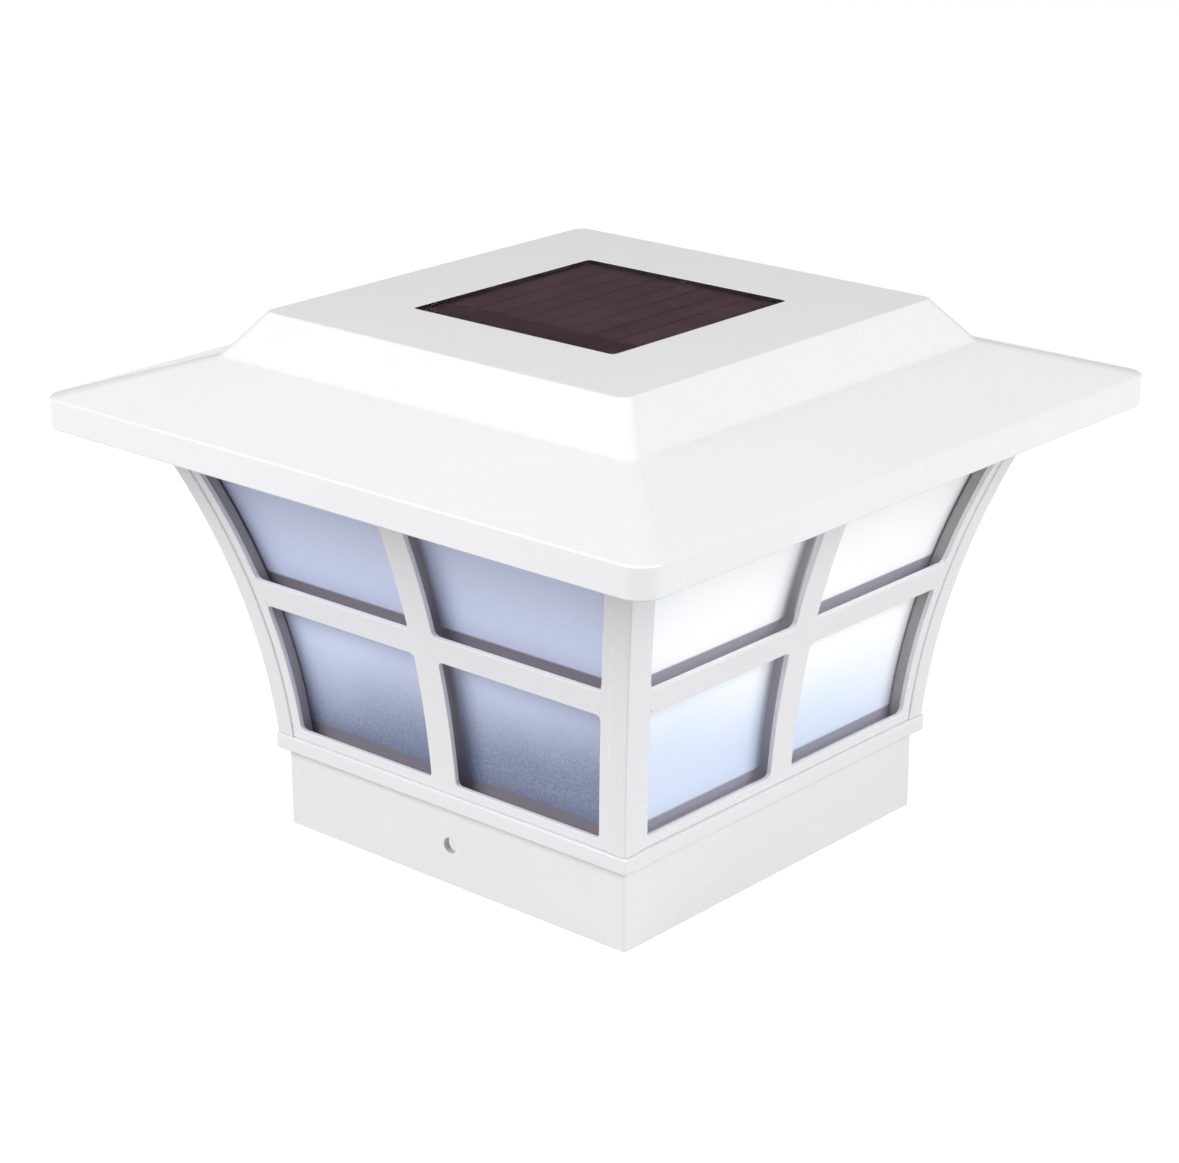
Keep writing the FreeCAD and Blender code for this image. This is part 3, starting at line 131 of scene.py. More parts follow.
class Workpiece:
    """One mesh on the bench, shaped with edit-mode operators and finished with modifiers."""

    def __init__(self, obj: bpy.types.Object, name: str) -> None:
        """Takes a fresh primitive and names it.

        Args:
            obj: The primitive's object.
            name: The finished piece's name.
        """
        self.obj = obj
        obj.name = name
        obj.data.name = name
        bpy.ops.object.transform_apply(location=True, rotation=True, scale=True)

    @classmethod
    def plane(cls, name: str, low: Iterable[float], high: Iterable[float], height: float) -> "Workpiece":
        """Starts from a level rectangle.

        Args:
            name: The piece's name.
            low: Lowest x and y.
            high: Highest x and y.
            height: The rectangle's z.

        Returns:
            The workpiece.
        """
        (x_low, y_low), (x_high, y_high) = low, high
        deselect_all()
        bpy.ops.mesh.primitive_plane_add(
            size=1.0, location=((x_low + x_high) / 2, (y_low + y_high) / 2, height)
        )
        obj = bpy.context.object
        obj.scale = (x_high - x_low, y_high - y_low, 1.0)
        return cls(obj, name)

    @classmethod
    def square(cls, name: str, half: float, height: float) -> "Workpiece":
        """Starts from a level square around the upright axis.

        Args:
            name: The piece's name.
            half: Half its side.
            height: The square's z.

        Returns:
            The workpiece.
        """
        return cls.plane(name, (-half,) * 2, (half,) * 2, height)

    @classmethod
    def rod(cls, name: str, radius: float, length: float, centre: Iterable[float],
            sides: int = 32, turn: Triple = (0.0, 0.0, 0.0)) -> "Workpiece":
        """Starts from a rod, upright unless it is turned.

        Args:
            name: The piece's name.
            radius: The rod's radius.
            length: The rod's length.
            centre: The rod's middle.
            sides: How many sides stand for the circle.
            turn: Its rotation in radians.

        Returns:
            The workpiece.
        """
        deselect_all()
        bpy.ops.mesh.primitive_cylinder_add(
            vertices=sides, radius=radius, depth=length, location=centre, rotation=turn
        )
        return cls(bpy.context.object, name)

    @classmethod
    def square_ring(cls, name: str, inner: float, outer: float, low: float, high: float,
                    ease: float, steps: int) -> "Workpiece":
        """Shapes a flat square ring with eased edges.

        Args:
            name: The piece's name.
            inner: Half the opening.
            outer: Half the ring.
            low: The ring's bottom.
            high: The ring's top.
            ease: The round along its edges.
            steps: Segments in that round.

        Returns:
            The ring.
        """
        piece = cls.square(name, outer, low)
        piece.pick(Element.FACE)
        bpy.ops.mesh.inset(thickness=outer - inner)
        piece.drop(lambda place, _n: abs(place.x) < TOUCH and abs(place.y) < TOUCH)
        piece.raise_all(high - low)
        piece.merge()
        piece.soften(ease, steps)
        return piece

    @classmethod
    def bosses(cls, name: str, offset: float, radius: float, low: float, high: float,
               sides: int = 32, ease: float = 0.0) -> list["Workpiece"]:
        """Shapes four upright round bosses.

        Args:
            name: How their names start.
            offset: Their distance from the middle, in x and in y.
            radius: A boss's radius.
            low: Their bottom.
            high: Their top.
            sides: How many sides stand for the circle.
            ease: The round along their edges, if any.

        Returns:
            The bosses.
        """
        made = []
        for x, y in product((-1, 1), repeat=2):
            deselect_all()
            bpy.ops.mesh.primitive_circle_add(
                vertices=sides, radius=radius, fill_type="NGON", location=(x * offset, y * offset, low)
            )
            boss = cls(bpy.context.object, f"{name}_{x}_{y}")
            boss.raise_all(high - low)
            boss.merge()
            if ease:
                boss.soften(ease, 2)
            made.append(boss)
        return made

    def edit(self) -> bmesh.types.BMesh:
        """Enters edit mode on this piece alone and returns its edit mesh."""
        if bpy.context.object is not self.obj or self.obj.mode != "EDIT":
            take_up(self.obj)
            bpy.ops.object.mode_set(mode="EDIT")
        return bmesh.from_edit_mesh(self.obj.data)

    def pick(self, element: Element, test: Test = always, rim: bool = False) -> bool:
        """Selects the elements whose place and direction pass a test.

        Args:
            element: What is picked.
            test: Takes an element's middle and its normal (an edge's direction).
            rim: Whether only open edges are picked.

        Returns:
            Whether any was picked.
        """
        mesh = self.edit()
        bpy.ops.mesh.select_mode(type=element.value)
        bpy.ops.mesh.select_all(action="DESELECT")
        kinds = {Element.VERT: mesh.verts, Element.EDGE: mesh.edges, Element.FACE: mesh.faces}
        found = [
            item for item in kinds[element]
            if (not rim or len(item.link_faces) < 2) and test(*whereabouts(item))
        ]
        for item in found:
            item.select_set(True)
        bmesh.update_edit_mesh(self.obj.data)
        return bool(found)

    def pick_rim(self, test: Test = always) -> None:
        """Selects the open edges that pass a test."""
        self.pick(Element.EDGE, test, rim=True)

    def round_corners(self, radius: float, steps: int) -> None:
        """Rounds the selected corners of a flat outline.

        Args:
            radius: The corners' radius.
            steps: Segments in each corner.
        """
        bpy.ops.mesh.bevel(
            offset=radius, offset_type="OFFSET", segments=steps, profile=0.5,
            affect="VERTICES", clamp_overlap=True,
        )

    def raise_faces(self, move: Triple) -> None:
        """Extrudes the selected faces along a move."""
        bpy.ops.mesh.extrude_region_move(TRANSFORM_OT_translate={"value": move})

    def raise_all(self, height: float) -> None:
        """Extrudes every face upward."""
        self.pick(Element.FACE)
        self.raise_faces((0.0, 0.0, height))

    def pull_edges(self, move: Triple) -> None:
        """Extrudes the selected edges along a move."""
        bpy.ops.mesh.extrude_edges_move(TRANSFORM_OT_translate={"value": move})

    def fill_rim(self) -> None:
        """Closes the selected loop with one face."""
        bpy.ops.mesh.edge_face_add()

    def cut(self, through: Triple, facing: Triple) -> None:
        """Bisects the whole piece with a plane and keeps both halves.

        Args:
            through: A point on the plane.
            facing: The plane's normal.
        """
        self.pick(Element.FACE)
        bpy.ops.mesh.bisect(plane_co=through, plane_no=facing)

    def drop(self, test: Test) -> None:
        """Deletes the faces that pass a test."""
        if self.pick(Element.FACE, test):
            bpy.ops.mesh.delete(type="FACE")

    def remap(self, place: Callable[[Vector], Vector]) -> None:
        """Moves every vertex to where a function puts it.

        Args:
            place: Takes a vertex's place and returns its new one.
        """
        mesh = self.edit()
        for vert in mesh.verts:
            vert.co = place(vert.co)
        bmesh.update_edit_mesh(self.obj.data)

    def merge(self, distance: float = TOUCH) -> None:
        """Merges doubled vertices and turns every face outward."""
        self.pick(Element.VERT)
        bpy.ops.mesh.remove_doubles(threshold=distance)
        bpy.ops.mesh.select_all(action="SELECT")
        bpy.ops.mesh.normals_make_consistent(inside=False)

    def apply(self, kind: str, **settings: object) -> None:
        """Adds a modifier with its settings and applies it.

        Args:
            kind: The modifier's type.
            settings: Values for the modifier's properties.
        """
        take_up(self.obj)
        modifier = self.obj.modifiers.new(kind.title(), kind)
        for key, value in settings.items():
            setattr(modifier, key, value)
        bpy.ops.object.modifier_apply(modifier=modifier.name)

    def soften(self, width: float, steps: int = 3, angle: float = SHARP) -> None:
        """Rounds the piece's sharp edges.

        Args:
            width: The round's width.
            steps: Segments across it.
            angle: Edges sharper than this are rounded, in degrees.
        """
        self.apply(
            "BEVEL", width=width, segments=steps, limit_method="ANGLE",
            angle_limit=math.radians(angle), use_clamp_overlap=False,
            miter_outer="MITER_ARC",
        )

    def drill(self, cutter: "Workpiece") -> None:
        """Cuts another workpiece's shape out of this one and throws the cutter away."""
        self.apply("BOOLEAN", operation="DIFFERENCE", object=cutter.obj, solver="EXACT")
        cutter.discard()

    def join(self, others: Iterable["Workpiece"]) -> None:
        """Joins other workpieces into this one."""
        take_up(self.obj)
        for other in others:
            other.obj.select_set(True)
        bpy.ops.object.join()

    def shade(self, angle: float = SHARP) -> None:
        """Shades the piece smooth, keeps its flats flat and reports any open edge.

        Args:
            angle: Edges sharper than this stay sharp, in degrees.
        """
        take_up(self.obj)
        bpy.ops.object.shade_smooth_by_angle(angle=math.radians(angle))
        self.apply("WEIGHTED_NORMAL", weight=60, keep_sharp=True)
        mesh = bmesh.new()
        mesh.from_mesh(self.obj.data)
        open_edges = sum(1 for e in mesh.edges if len(e.link_faces) != 2)
        mesh.free()
        LOG.info("%s: %d faces, %d open edges", self.obj.name, len(self.obj.data.polygons), open_edges)

    def copy(self, name: str, turn: float) -> "Workpiece":
        """A copy turned about the upright axis, with its own mesh.

        Args:
            name: The copy's name.
            turn: Degrees, anticlockwise from above.

        Returns:
            The copy.
        """
        take_up(self.obj)
        twin = self.obj.copy()
        twin.data = self.obj.data.copy()
        bpy.context.scene.collection.objects.link(twin)
        take_up(twin)
        twin.rotation_euler = (0.0, 0.0, math.radians(turn))
        return Workpiece(twin, name)

    def shifted(self, name: str, move: Triple) -> "Workpiece":
        """A copy moved by a vector, with its own mesh."""
        twin = self.copy(name, 0.0)
        twin.remap(lambda place: place + Vector(move))
        deselect_all()
        return twin

    def discard(self) -> None:
        """Throws the workpiece away."""
        deselect_all()
        bpy.data.objects.remove(self.obj)

    def quarter_turns(self, names: Iterable[str]) -> Iterator["Workpiece"]:
        """This piece and its copies, each a quarter turn on from the last.

        A copy is made when it is asked for, so it starts from this piece as it is by then.

        Args:
            names: The pieces' names, this one's first.

        Yields:
            The pieces.
        """
        for turn, name in enumerate(names):
            yield self.copy(name, QUARTER * turn) if turn else self


def settle(piece: Workpiece, body: str, slot: str, finish: "Finish", *nodes: str) -> bpy.types.Object:
    """Dresses a finished piece, rides it on its body and hides the nodes that it stands for.

    Args:
        piece: The finished workpiece.
        body: The CAD body that carries it.
        slot: The record's material slot; not used.
        finish: The piece's finish.
        nodes: The CAD nodes that it stands for.

    Returns:
        The piece's object.
    """
    obj = piece.obj
    deselect_all()
    obj.data.materials.clear()
    obj.data.materials.append(finish.material())
    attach(obj, body)
    if nodes:
        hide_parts(*nodes)
    return obj


# ---- Finishes -----------------------------------------------------------------------------

class NodeDesk:
    """Short-hand for laying out one node tree."""

    def __init__(self, tree: bpy.types.NodeTree) -> None:
        """Keeps the tree that nodes are added to."""
        self.tree = tree
        self.column = 0

    @classmethod
    def fresh(cls, owner: bpy.types.Material | bpy.types.World) -> "NodeDesk":
        """Clears the node tree of a material or a world and takes it up."""
        owner.use_nodes = True
        owner.node_tree.nodes.clear()
        return cls(owner.node_tree)

    def node(self, kind: str, **settings: object) -> bpy.types.Node:
        """Adds a node; settings are its properties."""
        made = self.tree.nodes.new(kind)
        self.column += 1
        made.location = (180 * self.column, 0)
        for key, value in settings.items():
            setattr(made, key, value)
        return made

    def link(self, source: Socket, target: Socket) -> None:
        """Joins two sockets."""
        self.tree.links.new(source, target)

    def feed(self, socket: Socket, value: object) -> None:
        """Links a socket to another, or sets its value."""
        if isinstance(value, Socket):
            self.link(value, socket)
        else:
            socket.default_value = value

    def fill(self, node: bpy.types.Node, values: dict[str, object]) -> None:
        """Feeds a node's inputs by name."""
        for label, value in values.items():
            self.feed(node.inputs[label], value)

    def group(self, tree: bpy.types.NodeTree, **values: object) -> bpy.types.Node:
        """Adds a node group and feeds its inputs."""
        made = self.node("ShaderNodeGroup", node_tree=tree)
        self.fill(made, values)
        return made

    def covered(self, body: Socket, colour: Colour) -> Socket:
        """A body colour that gives way to a painted shade colour where the mesh is marked for painted shade.
        """
        mark = self.node("ShaderNodeAttribute", attribute_name="covered")
        return self.blend(mark.outputs["Fac"], body, rgba(colour))

    def math(self, kind: str, *values: object) -> Socket:
        """A Math node's result."""
        made = self.node("ShaderNodeMath", operation=kind)
        for socket, value in zip(made.inputs, values):
            self.feed(socket, value)
        return made.outputs[0]

    def noise(self, vector: object, scale: float, detail: float = 2.0) -> Socket:
        """A noise texture's value."""
        made = self.node("ShaderNodeTexNoise")
        self.fill(made, {"Vector": vector, "Scale": scale, "Detail": detail})
        return made.outputs[0]

    def blend(self, share: object, first: object, second: object) -> Socket:
        """Two colours mixed by a share."""
        made = self.node("ShaderNodeMix", data_type="RGBA")
        self.feed(made.inputs[0], share)
        self.feed(made.inputs[6], first)
        self.feed(made.inputs[7], second)
        return made.outputs[2]

    def remap(self, value: object, low: float, high: float, to_low: float, to_high: float,
              smooth: bool = False) -> Socket:
        """A value carried from one range to another, held at its ends."""
        made = self.node(
            "ShaderNodeMapRange",
            interpolation_type="SMOOTHSTEP" if smooth else "LINEAR",
        )
        for socket, item in zip(made.inputs, (value, low, high, to_low, to_high)):
            self.feed(socket, item)
        return made.outputs[0]

    def place(self) -> Socket:
        """The piece's own coordinates, in metres."""
        return self.node("ShaderNodeTexCoord").outputs["Object"]

    def axes(self, vector: Socket) -> list[Socket]:
        """A vector's three parts."""
        made = self.node("ShaderNodeSeparateXYZ")
        self.link(vector, made.inputs[0])
        return list(made.outputs)


def grey(value: float, tint: Colour = (1.0, 1.0, 1.0)) -> tuple[float, float, float, float]:
    """A grey with a slight tint, as a shader colour."""
    red, green, blue = tint
    return (value * red, value * green, value * blue, 1.0)


def rgba(colour: Colour) -> tuple[float, float, float, float]:
    """A colour with full alpha."""
    return (*colour, 1.0)


class Effects:
    """The node groups that more than one finish uses, each built once."""

    @staticmethod
    def _group(name: str, inputs: dict[str, object],
               *outputs: str) -> tuple[NodeDesk, dict[str, Socket], bpy.types.Node]:
        """Starts a node group with its sockets.

        Args:
            name: The group's name.
            inputs: The default of each input: a number, or a colour with alpha.
            outputs: The outputs' names; Colour is a colour and the others are numbers.

        Returns:
            The group's desk, its inputs' sockets by name, and its output node.
        """
        tree = bpy.data.node_groups.new(name, "ShaderNodeTree")
        for label, default in inputs.items():
            kind = "NodeSocketFloat" if isinstance(default, float) else "NodeSocketColor"
            made = tree.interface.new_socket(name=label, in_out="INPUT", socket_type=kind)
            made.default_value = default
        for label in outputs:
            kind = "NodeSocketColor" if label == "Colour" else "NodeSocketFloat"
            tree.interface.new_socket(name=label, in_out="OUTPUT", socket_type=kind)
        desk = NodeDesk(tree)
        given = desk.node("NodeGroupInput").outputs
        return desk, {label: given[label] for label in inputs}, desk.node("NodeGroupOutput")

    @staticmethod
    @cache
    def moulding() -> bpy.types.NodeTree:
        """Moulded plastic: faint flow clouds in colour and gloss, and an orange-peel height."""
        desk, given, result = Effects._group(
            "moulded_surface", {"Colour": grey(0.8), "Cloud": 0.03, "Roughness": 0.3},
            "Colour", "Roughness", "Height",
        )
        place = desk.place()
        flow = desk.remap(desk.noise(place, 22.0, 3.0), 0.35, 0.7, 0.0, 1.0)
        share = desk.math("MULTIPLY", flow, given["Cloud"])
        handled = desk.remap(desk.noise(place, 90.0, 4.0), 0.3, 0.75, -0.02, 0.03)
        peel = desk.noise(place, 700.0, 2.0)
        swell = desk.noise(place, 60.0, 1.0)
        desk.fill(result, {
            "Colour": desk.blend(share, given["Colour"], grey(0.0)),
            "Roughness": desk.math("ADD", given["Roughness"], handled),
            "Height": desk.math("MULTIPLY_ADD", swell, 2.0, peel),
        })
        return desk.tree

    @staticmethod
    @cache
    def speckle() -> bpy.types.NodeTree:
        """Fine frost: a speckle mask and a matching height."""
        desk, given, result = Effects._group("frost_speckle", {"Grain": 1800.0}, "Mask", "Height")
        made = desk.node("ShaderNodeTexNoise")
        desk.fill(made, {
            "Vector": desk.place(), "Scale": given["Grain"], "Detail": 3.0, "Roughness": 0.7,
        })
        frost = made.outputs[0]
        desk.fill(result, {"Mask": desk.remap(frost, 0.36, 0.64, 0.0, 1.0), "Height": frost})
        return desk.tree

    @staticmethod
    @cache
    def brushed() -> bpy.types.NodeTree:
        """Drawn or rolled metal: streaks along one axis and small dull patches."""
        desk, given, result = Effects._group(
            "worked_metal", {"Colour": grey(0.6), "Roughness": 0.3}, "Colour", "Roughness", "Height",
        )
        mapped = desk.node("ShaderNodeMapping")
        desk.fill(mapped, {"Vector": desk.place(), "Scale": (1.0, 1.0, 12.0)})
        streak = desk.noise(mapped.outputs[0], 420.0, 4.0)
        dull = desk.remap(desk.noise(desk.place(), 160.0, 3.0), 0.4, 0.7, 0.0, 0.35)
        desk.fill(result, {
            "Colour": desk.blend(dull, given["Colour"], (0.3, 0.29, 0.28, 1.0)),
            "Roughness": desk.math("MULTIPLY_ADD", streak, 0.18, given["Roughness"]),
            "Height": streak,
        })
        return desk.tree


class Finish:
    """A finish that is made a material once, when it is first asked for."""

    _made: dict[str, bpy.types.Material] = {}
    name: str

    def material(self) -> bpy.types.Material:
        """The finish's material, made on first use."""
        if self.name not in Finish._made:
            made = bpy.data.materials.new(self.name)
            desk = NodeDesk.fresh(made)
            shader = desk.node("ShaderNodeBsdfPrincipled")
            self.lay_out(desk, shader)
            desk.link(shader.outputs[0], desk.node("ShaderNodeOutputMaterial").inputs[0])
            Finish._made[self.name] = made
        return Finish._made[self.name]

    def lay_out(self, desk: NodeDesk, shader: bpy.types.Node) -> None:
        """Joins the finish's nodes to the shader."""
        raise NotImplementedError


def emboss(desk: NodeDesk, shader: bpy.types.Node, height: Socket,
           distance: float, strength: float = 1.0) -> None:
    """Feeds a height to a shader's normal through a Bump node.

    Args:
        desk: The material's desk.
        shader: The shader that gets the normal.
        height: The height's socket.
        distance: The bump's depth, in metres.
        strength: The bump's share.
    """
    bump = desk.node("ShaderNodeBump")
    desk.fill(bump, {"Strength": strength, "Distance": distance, "Height": height})
    desk.fill(shader, {"Normal": bump.outputs[0]})


@dataclass(frozen=True)
class MouldedPlastic(Finish):
    """Moulded plastic with faint flow marks, in any colour and gloss."""

    name: str
    colour: Colour
    roughness: float
    cloud: float = 0.012
    peel: float = 0.0006 * MM
    coat: float = 0.0
    coat_roughness: float = 0.08
    # Painted shade colour, laid where the mesh marks faces for painted shade.
    seal: Colour = (0.42, 0.39, 0.40)

    def lay_out(self, desk: NodeDesk, shader: bpy.types.Node) -> None:
        """Joins the moulded surface group to the shader."""
        group = desk.group(Effects.moulding(), Colour=rgba(self.colour), Cloud=self.cloud,
                           Roughness=self.roughness)
        # Painted shade where the mesh marks it.
        body = desk.covered(group.outputs["Colour"], self.seal)
        desk.fill(shader, {"Base Color": body, "Roughness": group.outputs["Roughness"],
                           "Coat Weight": self.coat, "Coat Roughness": self.coat_roughness})
        emboss(desk, shader, group.outputs["Height"], self.peel)


@dataclass(frozen=True)
class FrostedSheet(Finish):
    """Frosted pane: cool, with painted shade that darkens it towards the foot and across the face, and
    painted shade where the grille covers it.
    """

    name: str
    # The head colour is painted light and the foot colour is painted shade; the heights, lean and offset
    # place them.
    head: Colour
    foot: Colour
    # Painted shade colour where the grille's bars cover the pane.
    covered: Colour
    head_height: float
    foot_height: float
    lean: float
    offset: float
    roughness: float = 0.42
    # Painted glow: the pane emits its own colour, though it is no lamp.
    glow: float = 0.0

    def lay_out(self, desk: NodeDesk, shader: bpy.types.Node) -> None:
        """Mixes the sheet's painted light and shade by height and across the face, its frost, and the
        painted shade behind the bars.
        """
        across, along, height = desk.axes(desk.place())
        # Painted shade: darker towards the foot and, by the lean, towards one side of the face.
        rise = desk.remap(height, self.foot_height, self.head_height, 0.0, 1.5)
        away = desk.math("SUBTRACT", along, across)
        turned = desk.math("MULTIPLY_ADD", away, self.lean, self.offset)
        drift = desk.remap(desk.noise(desk.place(), 16.0, 2.0), 0.3, 0.7, -0.1, 0.1)
        share = desk.math("ADD", desk.math("ADD", rise, turned), drift)
        share = desk.remap(share, 0.0, 1.0, 0.0, 1.0, smooth=True)
        body = desk.blend(share, rgba(self.foot), rgba(self.head))
        frost = desk.group(Effects.speckle(), Grain=1500.0)
        sparkle = desk.math("MULTIPLY", frost.outputs["Mask"], 0.16)
        body = desk.blend(sparkle, body, grey(0.95))
        # Painted shade where the mesh marks the pane as behind the bars.
        body = desk.covered(body, self.covered)
        # The emission is painted glow.
        desk.fill(shader, {"Base Color": body, "Emission Color": body,
                           "Emission Strength": self.glow, "Roughness": self.roughness})
        emboss(desk, shader, frost.outputs["Height"], 0.02 * MM, 0.5)


@dataclass(frozen=True)
class WorkedMetal(Finish):
    """Plated steel or nickel, faintly streaked."""

    name: str
    colour: Colour
    roughness: float

    def lay_out(self, desk: NodeDesk, shader: bpy.types.Node) -> None:
        """Joins the worked metal group to the shader."""
        group = desk.group(Effects.brushed(), Colour=rgba(self.colour), Roughness=self.roughness)
        desk.fill(shader, {"Base Color": group.outputs["Colour"],
                           "Roughness": group.outputs["Roughness"], "Metallic": 1.0})
        emboss(desk, shader, group.outputs["Height"], 0.01 * MM)


@dataclass(frozen=True)
class SolarFilm(Finish):
    """Thin-film solar strips: purple brown with fine collector lines and a grain."""

    name: str
    colour: Colour
    edge: Colour
    line_pitch: float

    def lay_out(self, desk: NodeDesk, shader: bpy.types.Node) -> None:
        """Mixes the film's colour with its cloudiness and collector lines."""
        place = desk.place()
        along = desk.axes(place)[1]
        lines = desk.math("FRACT", desk.math("DIVIDE", along, self.line_pitch))
        thin = desk.math("GREATER_THAN", lines, 0.9)
        cloud = desk.remap(desk.noise(place, 70.0, 4.0), 0.3, 0.7, 0.0, 1.0)
        body = desk.blend(cloud, rgba(self.colour), rgba(self.edge))
        body = desk.blend(desk.math("MULTIPLY", thin, 0.25), body, rgba(self.edge))
        grain = desk.noise(place, 1500.0, 2.0)
        body = desk.blend(desk.remap(grain, 0.4, 0.7, 0.0, 0.3), body, rgba(self.edge))
        desk.fill(shader, {"Base Color": body, "Specular IOR Level": 0.0,
                           "Roughness": desk.remap(grain, 0.3, 0.7, 0.5, 0.65)})


@dataclass(frozen=True)
class ClearSheet(Finish):
    """Clear cover or lens, with a faint haze in its gloss."""

    name: str
    colour: Colour
    roughness: float
    ior: float = 1.49

    def lay_out(self, desk: NodeDesk, shader: bpy.types.Node) -> None:
        """Sets the glass and its slightly uneven gloss."""
        haze = desk.noise(desk.place(), 80.0, 3.0)
        gloss = desk.remap(haze, 0.3, 0.7, self.roughness * 0.6, self.roughness * 1.5)
        desk.fill(shader, {"Base Color": rgba(self.colour), "Transmission Weight": 1.0,
                           "IOR": self.ior, "Roughness": gloss})


@dataclass(frozen=True)
class Foam(Finish):
    """Closed-cell foam: matt, with small pits."""

    name: str
    colour: Colour

    def lay_out(self, desk: NodeDesk, shader: bpy.types.Node) -> None:
        """Darkens the foam's cell pits with painted shade and pits its height."""
        cells = desk.node("ShaderNodeTexVoronoi")
        desk.fill(cells, {"Vector": desk.place(), "Scale": 1400.0})
        pits = desk.remap(cells.outputs["Distance"], 0.1, 0.6, 0.0, 1.0)
        # Painted shade: the pits are darker than the foam.
        body = desk.blend(pits, grey(0.004), rgba(self.colour))
        desk.fill(shader, {"Base Color": body, "Roughness": 0.85})
        emboss(desk, shader, pits, 0.05 * MM)


@dataclass(frozen=True)
class CircuitLaminate(Finish):
    """Solder-masked board with copper tracks that show faintly through the mask."""

    name: str
    mask: Colour
    track: Colour

    def lay_out(self, desk: NodeDesk, shader: bpy.types.Node) -> None:
        """Lays tracks in a brick pattern under the mask's colour."""
        bricks = desk.node("ShaderNodeTexBrick")
        desk.fill(bricks, {"Vector": desk.place(), "Scale": 110.0, "Mortar Size": 0.035,
                           "Color1": rgba(self.mask), "Color2": rgba(self.mask),
                           "Mortar": rgba(self.track)})
        weave = desk.noise(desk.place(), 900.0, 2.0)
        body = desk.blend(desk.math("MULTIPLY", weave, 0.25), bricks.outputs[0], grey(0.02))
        desk.fill(shader, {"Base Color": body, "Roughness": 0.35})
        emboss(desk, shader, bricks.outputs["Fac"], 0.03 * MM)


# White plastic; its painted shade colour greys the post flanks behind the grilles.
WHITE_PLASTIC = MouldedPlastic("white_moulded_plastic", (0.83, 0.825, 0.845), 0.26, coat=0.15)
# The roof's near-black painted shade on the panel recess's walls.
ROOF_PLASTIC = replace(WHITE_PLASTIC, name="white_roof_plastic", seal=(0.03, 0.022, 0.023))
INNER_PLASTIC = MouldedPlastic("white_inner_plastic", (0.78, 0.78, 0.77), 0.42, cloud=0.06)
# Lit and shaded copies of one frosted pane, with painted light and shade graded by height and side.
PANE_HEAD = 84 * MM
PANE_FOOT = 30 * MM
SHADED_PANE = FrostedSheet(
    "frosted_pane_shaded", (0.65, 0.72, 0.97), (0.15, 0.19, 0.33), (0.24, 0.216, 0.25),
    PANE_HEAD, PANE_FOOT, 3.5, 0.0,
)
# The lit copy also carries painted glow.
BRIGHT_PANE = FrostedSheet(
    "frosted_pane_bright", (0.97, 0.99, 1.0), (0.60, 0.70, 0.88), (0.3, 0.29, 0.34),
    PANE_HEAD, PANE_FOOT, 6.0, 0.2, glow=0.14,
)
# The front and left panes take the painted shade copy, the right and back the painted light one.
PANE_FINISH = {
    Side.FRONT: SHADED_PANE, Side.RIGHT: BRIGHT_PANE, Side.BACK: BRIGHT_PANE, Side.LEFT: SHADED_PANE,
}
SCREW_STEEL = WorkedMetal("zinc_plated_screws", (0.62, 0.62, 0.64), 0.28)
CONTACT_NICKEL = WorkedMetal("nickel_contacts", (0.72, 0.69, 0.62), 0.22)
BLACK_FOAM = Foam("black_foam_gasket", (0.02, 0.02, 0.022))
PANEL_BOARD = SolarFilm("panel_backing", (0.034, 0.018, 0.02), (0.026, 0.014, 0.016), 3.0 * MM)
SOLAR_STRIPS = SolarFilm("solar_film", (0.056, 0.032, 0.037), (0.034, 0.018, 0.021), 3.0 * MM)
PANEL_COVER = ClearSheet("panel_cover", (0.95, 0.92, 0.92), 0.1, 1.02)
CLEAR_LENS = ClearSheet("clear_lens", (0.96, 0.97, 0.98), 0.04)
BATTERY_SLEEVE = MouldedPlastic("battery_sleeve", (0.05, 0.22, 0.10), 0.3, cloud=0.2)
GREEN_BOARD = CircuitLaminate("green_board", (0.012, 0.10, 0.035), (0.05, 0.24, 0.09))
LED_BODY = MouldedPlastic("led_body", (0.85, 0.78, 0.35), 0.3, cloud=0.15)
CHIP_BLACK = MouldedPlastic("chip_moulding", (0.02, 0.02, 0.021), 0.5, cloud=0.2)
FERRITE = MouldedPlastic("ferrite", (0.045, 0.043, 0.045), 0.65, cloud=0.4, peel=0.05 * MM)
RED_LEAD = MouldedPlastic("red_lead", (0.5, 0.02, 0.015), 0.38, cloud=0.1)
BLACK_LEAD = MouldedPlastic("black_lead", (0.02, 0.02, 0.02), 0.38, cloud=0.1)


# ---- Shared shape of the lantern ----------------------------------------------------------

@dataclass(frozen=True)
class Flare:
    """The lantern's curved side: upright at its foot, leaning out towards the roof."""

    radius: float = 288 * MM
    centre: float = 356.2 * MM
    level: float = 9.4 * MM
    foot: float = 29.8 * MM
    head: float = 129.0 * MM

    def at(self, height: float, depth: float = 0.0) -> float:
        """Half width of the lantern at a height.

        Args:
            height: Height above the floor.
            depth: How far behind the corner posts' faces.

        Returns:
            The half width there.
        """
        reach = self.radius + depth
        return self.centre - math.sqrt(reach * reach - (height - self.level) ** 2)

    def levels(self, low: float, high: float, steps: int) -> list[float]:
        """Evenly spaced heights from low to high, both ends among them."""
        return [low + (high - low) * step / steps for step in range(steps + 1)]


FLARE = Flare()


# ---- Lantern ------------------------------------------------------------------------------

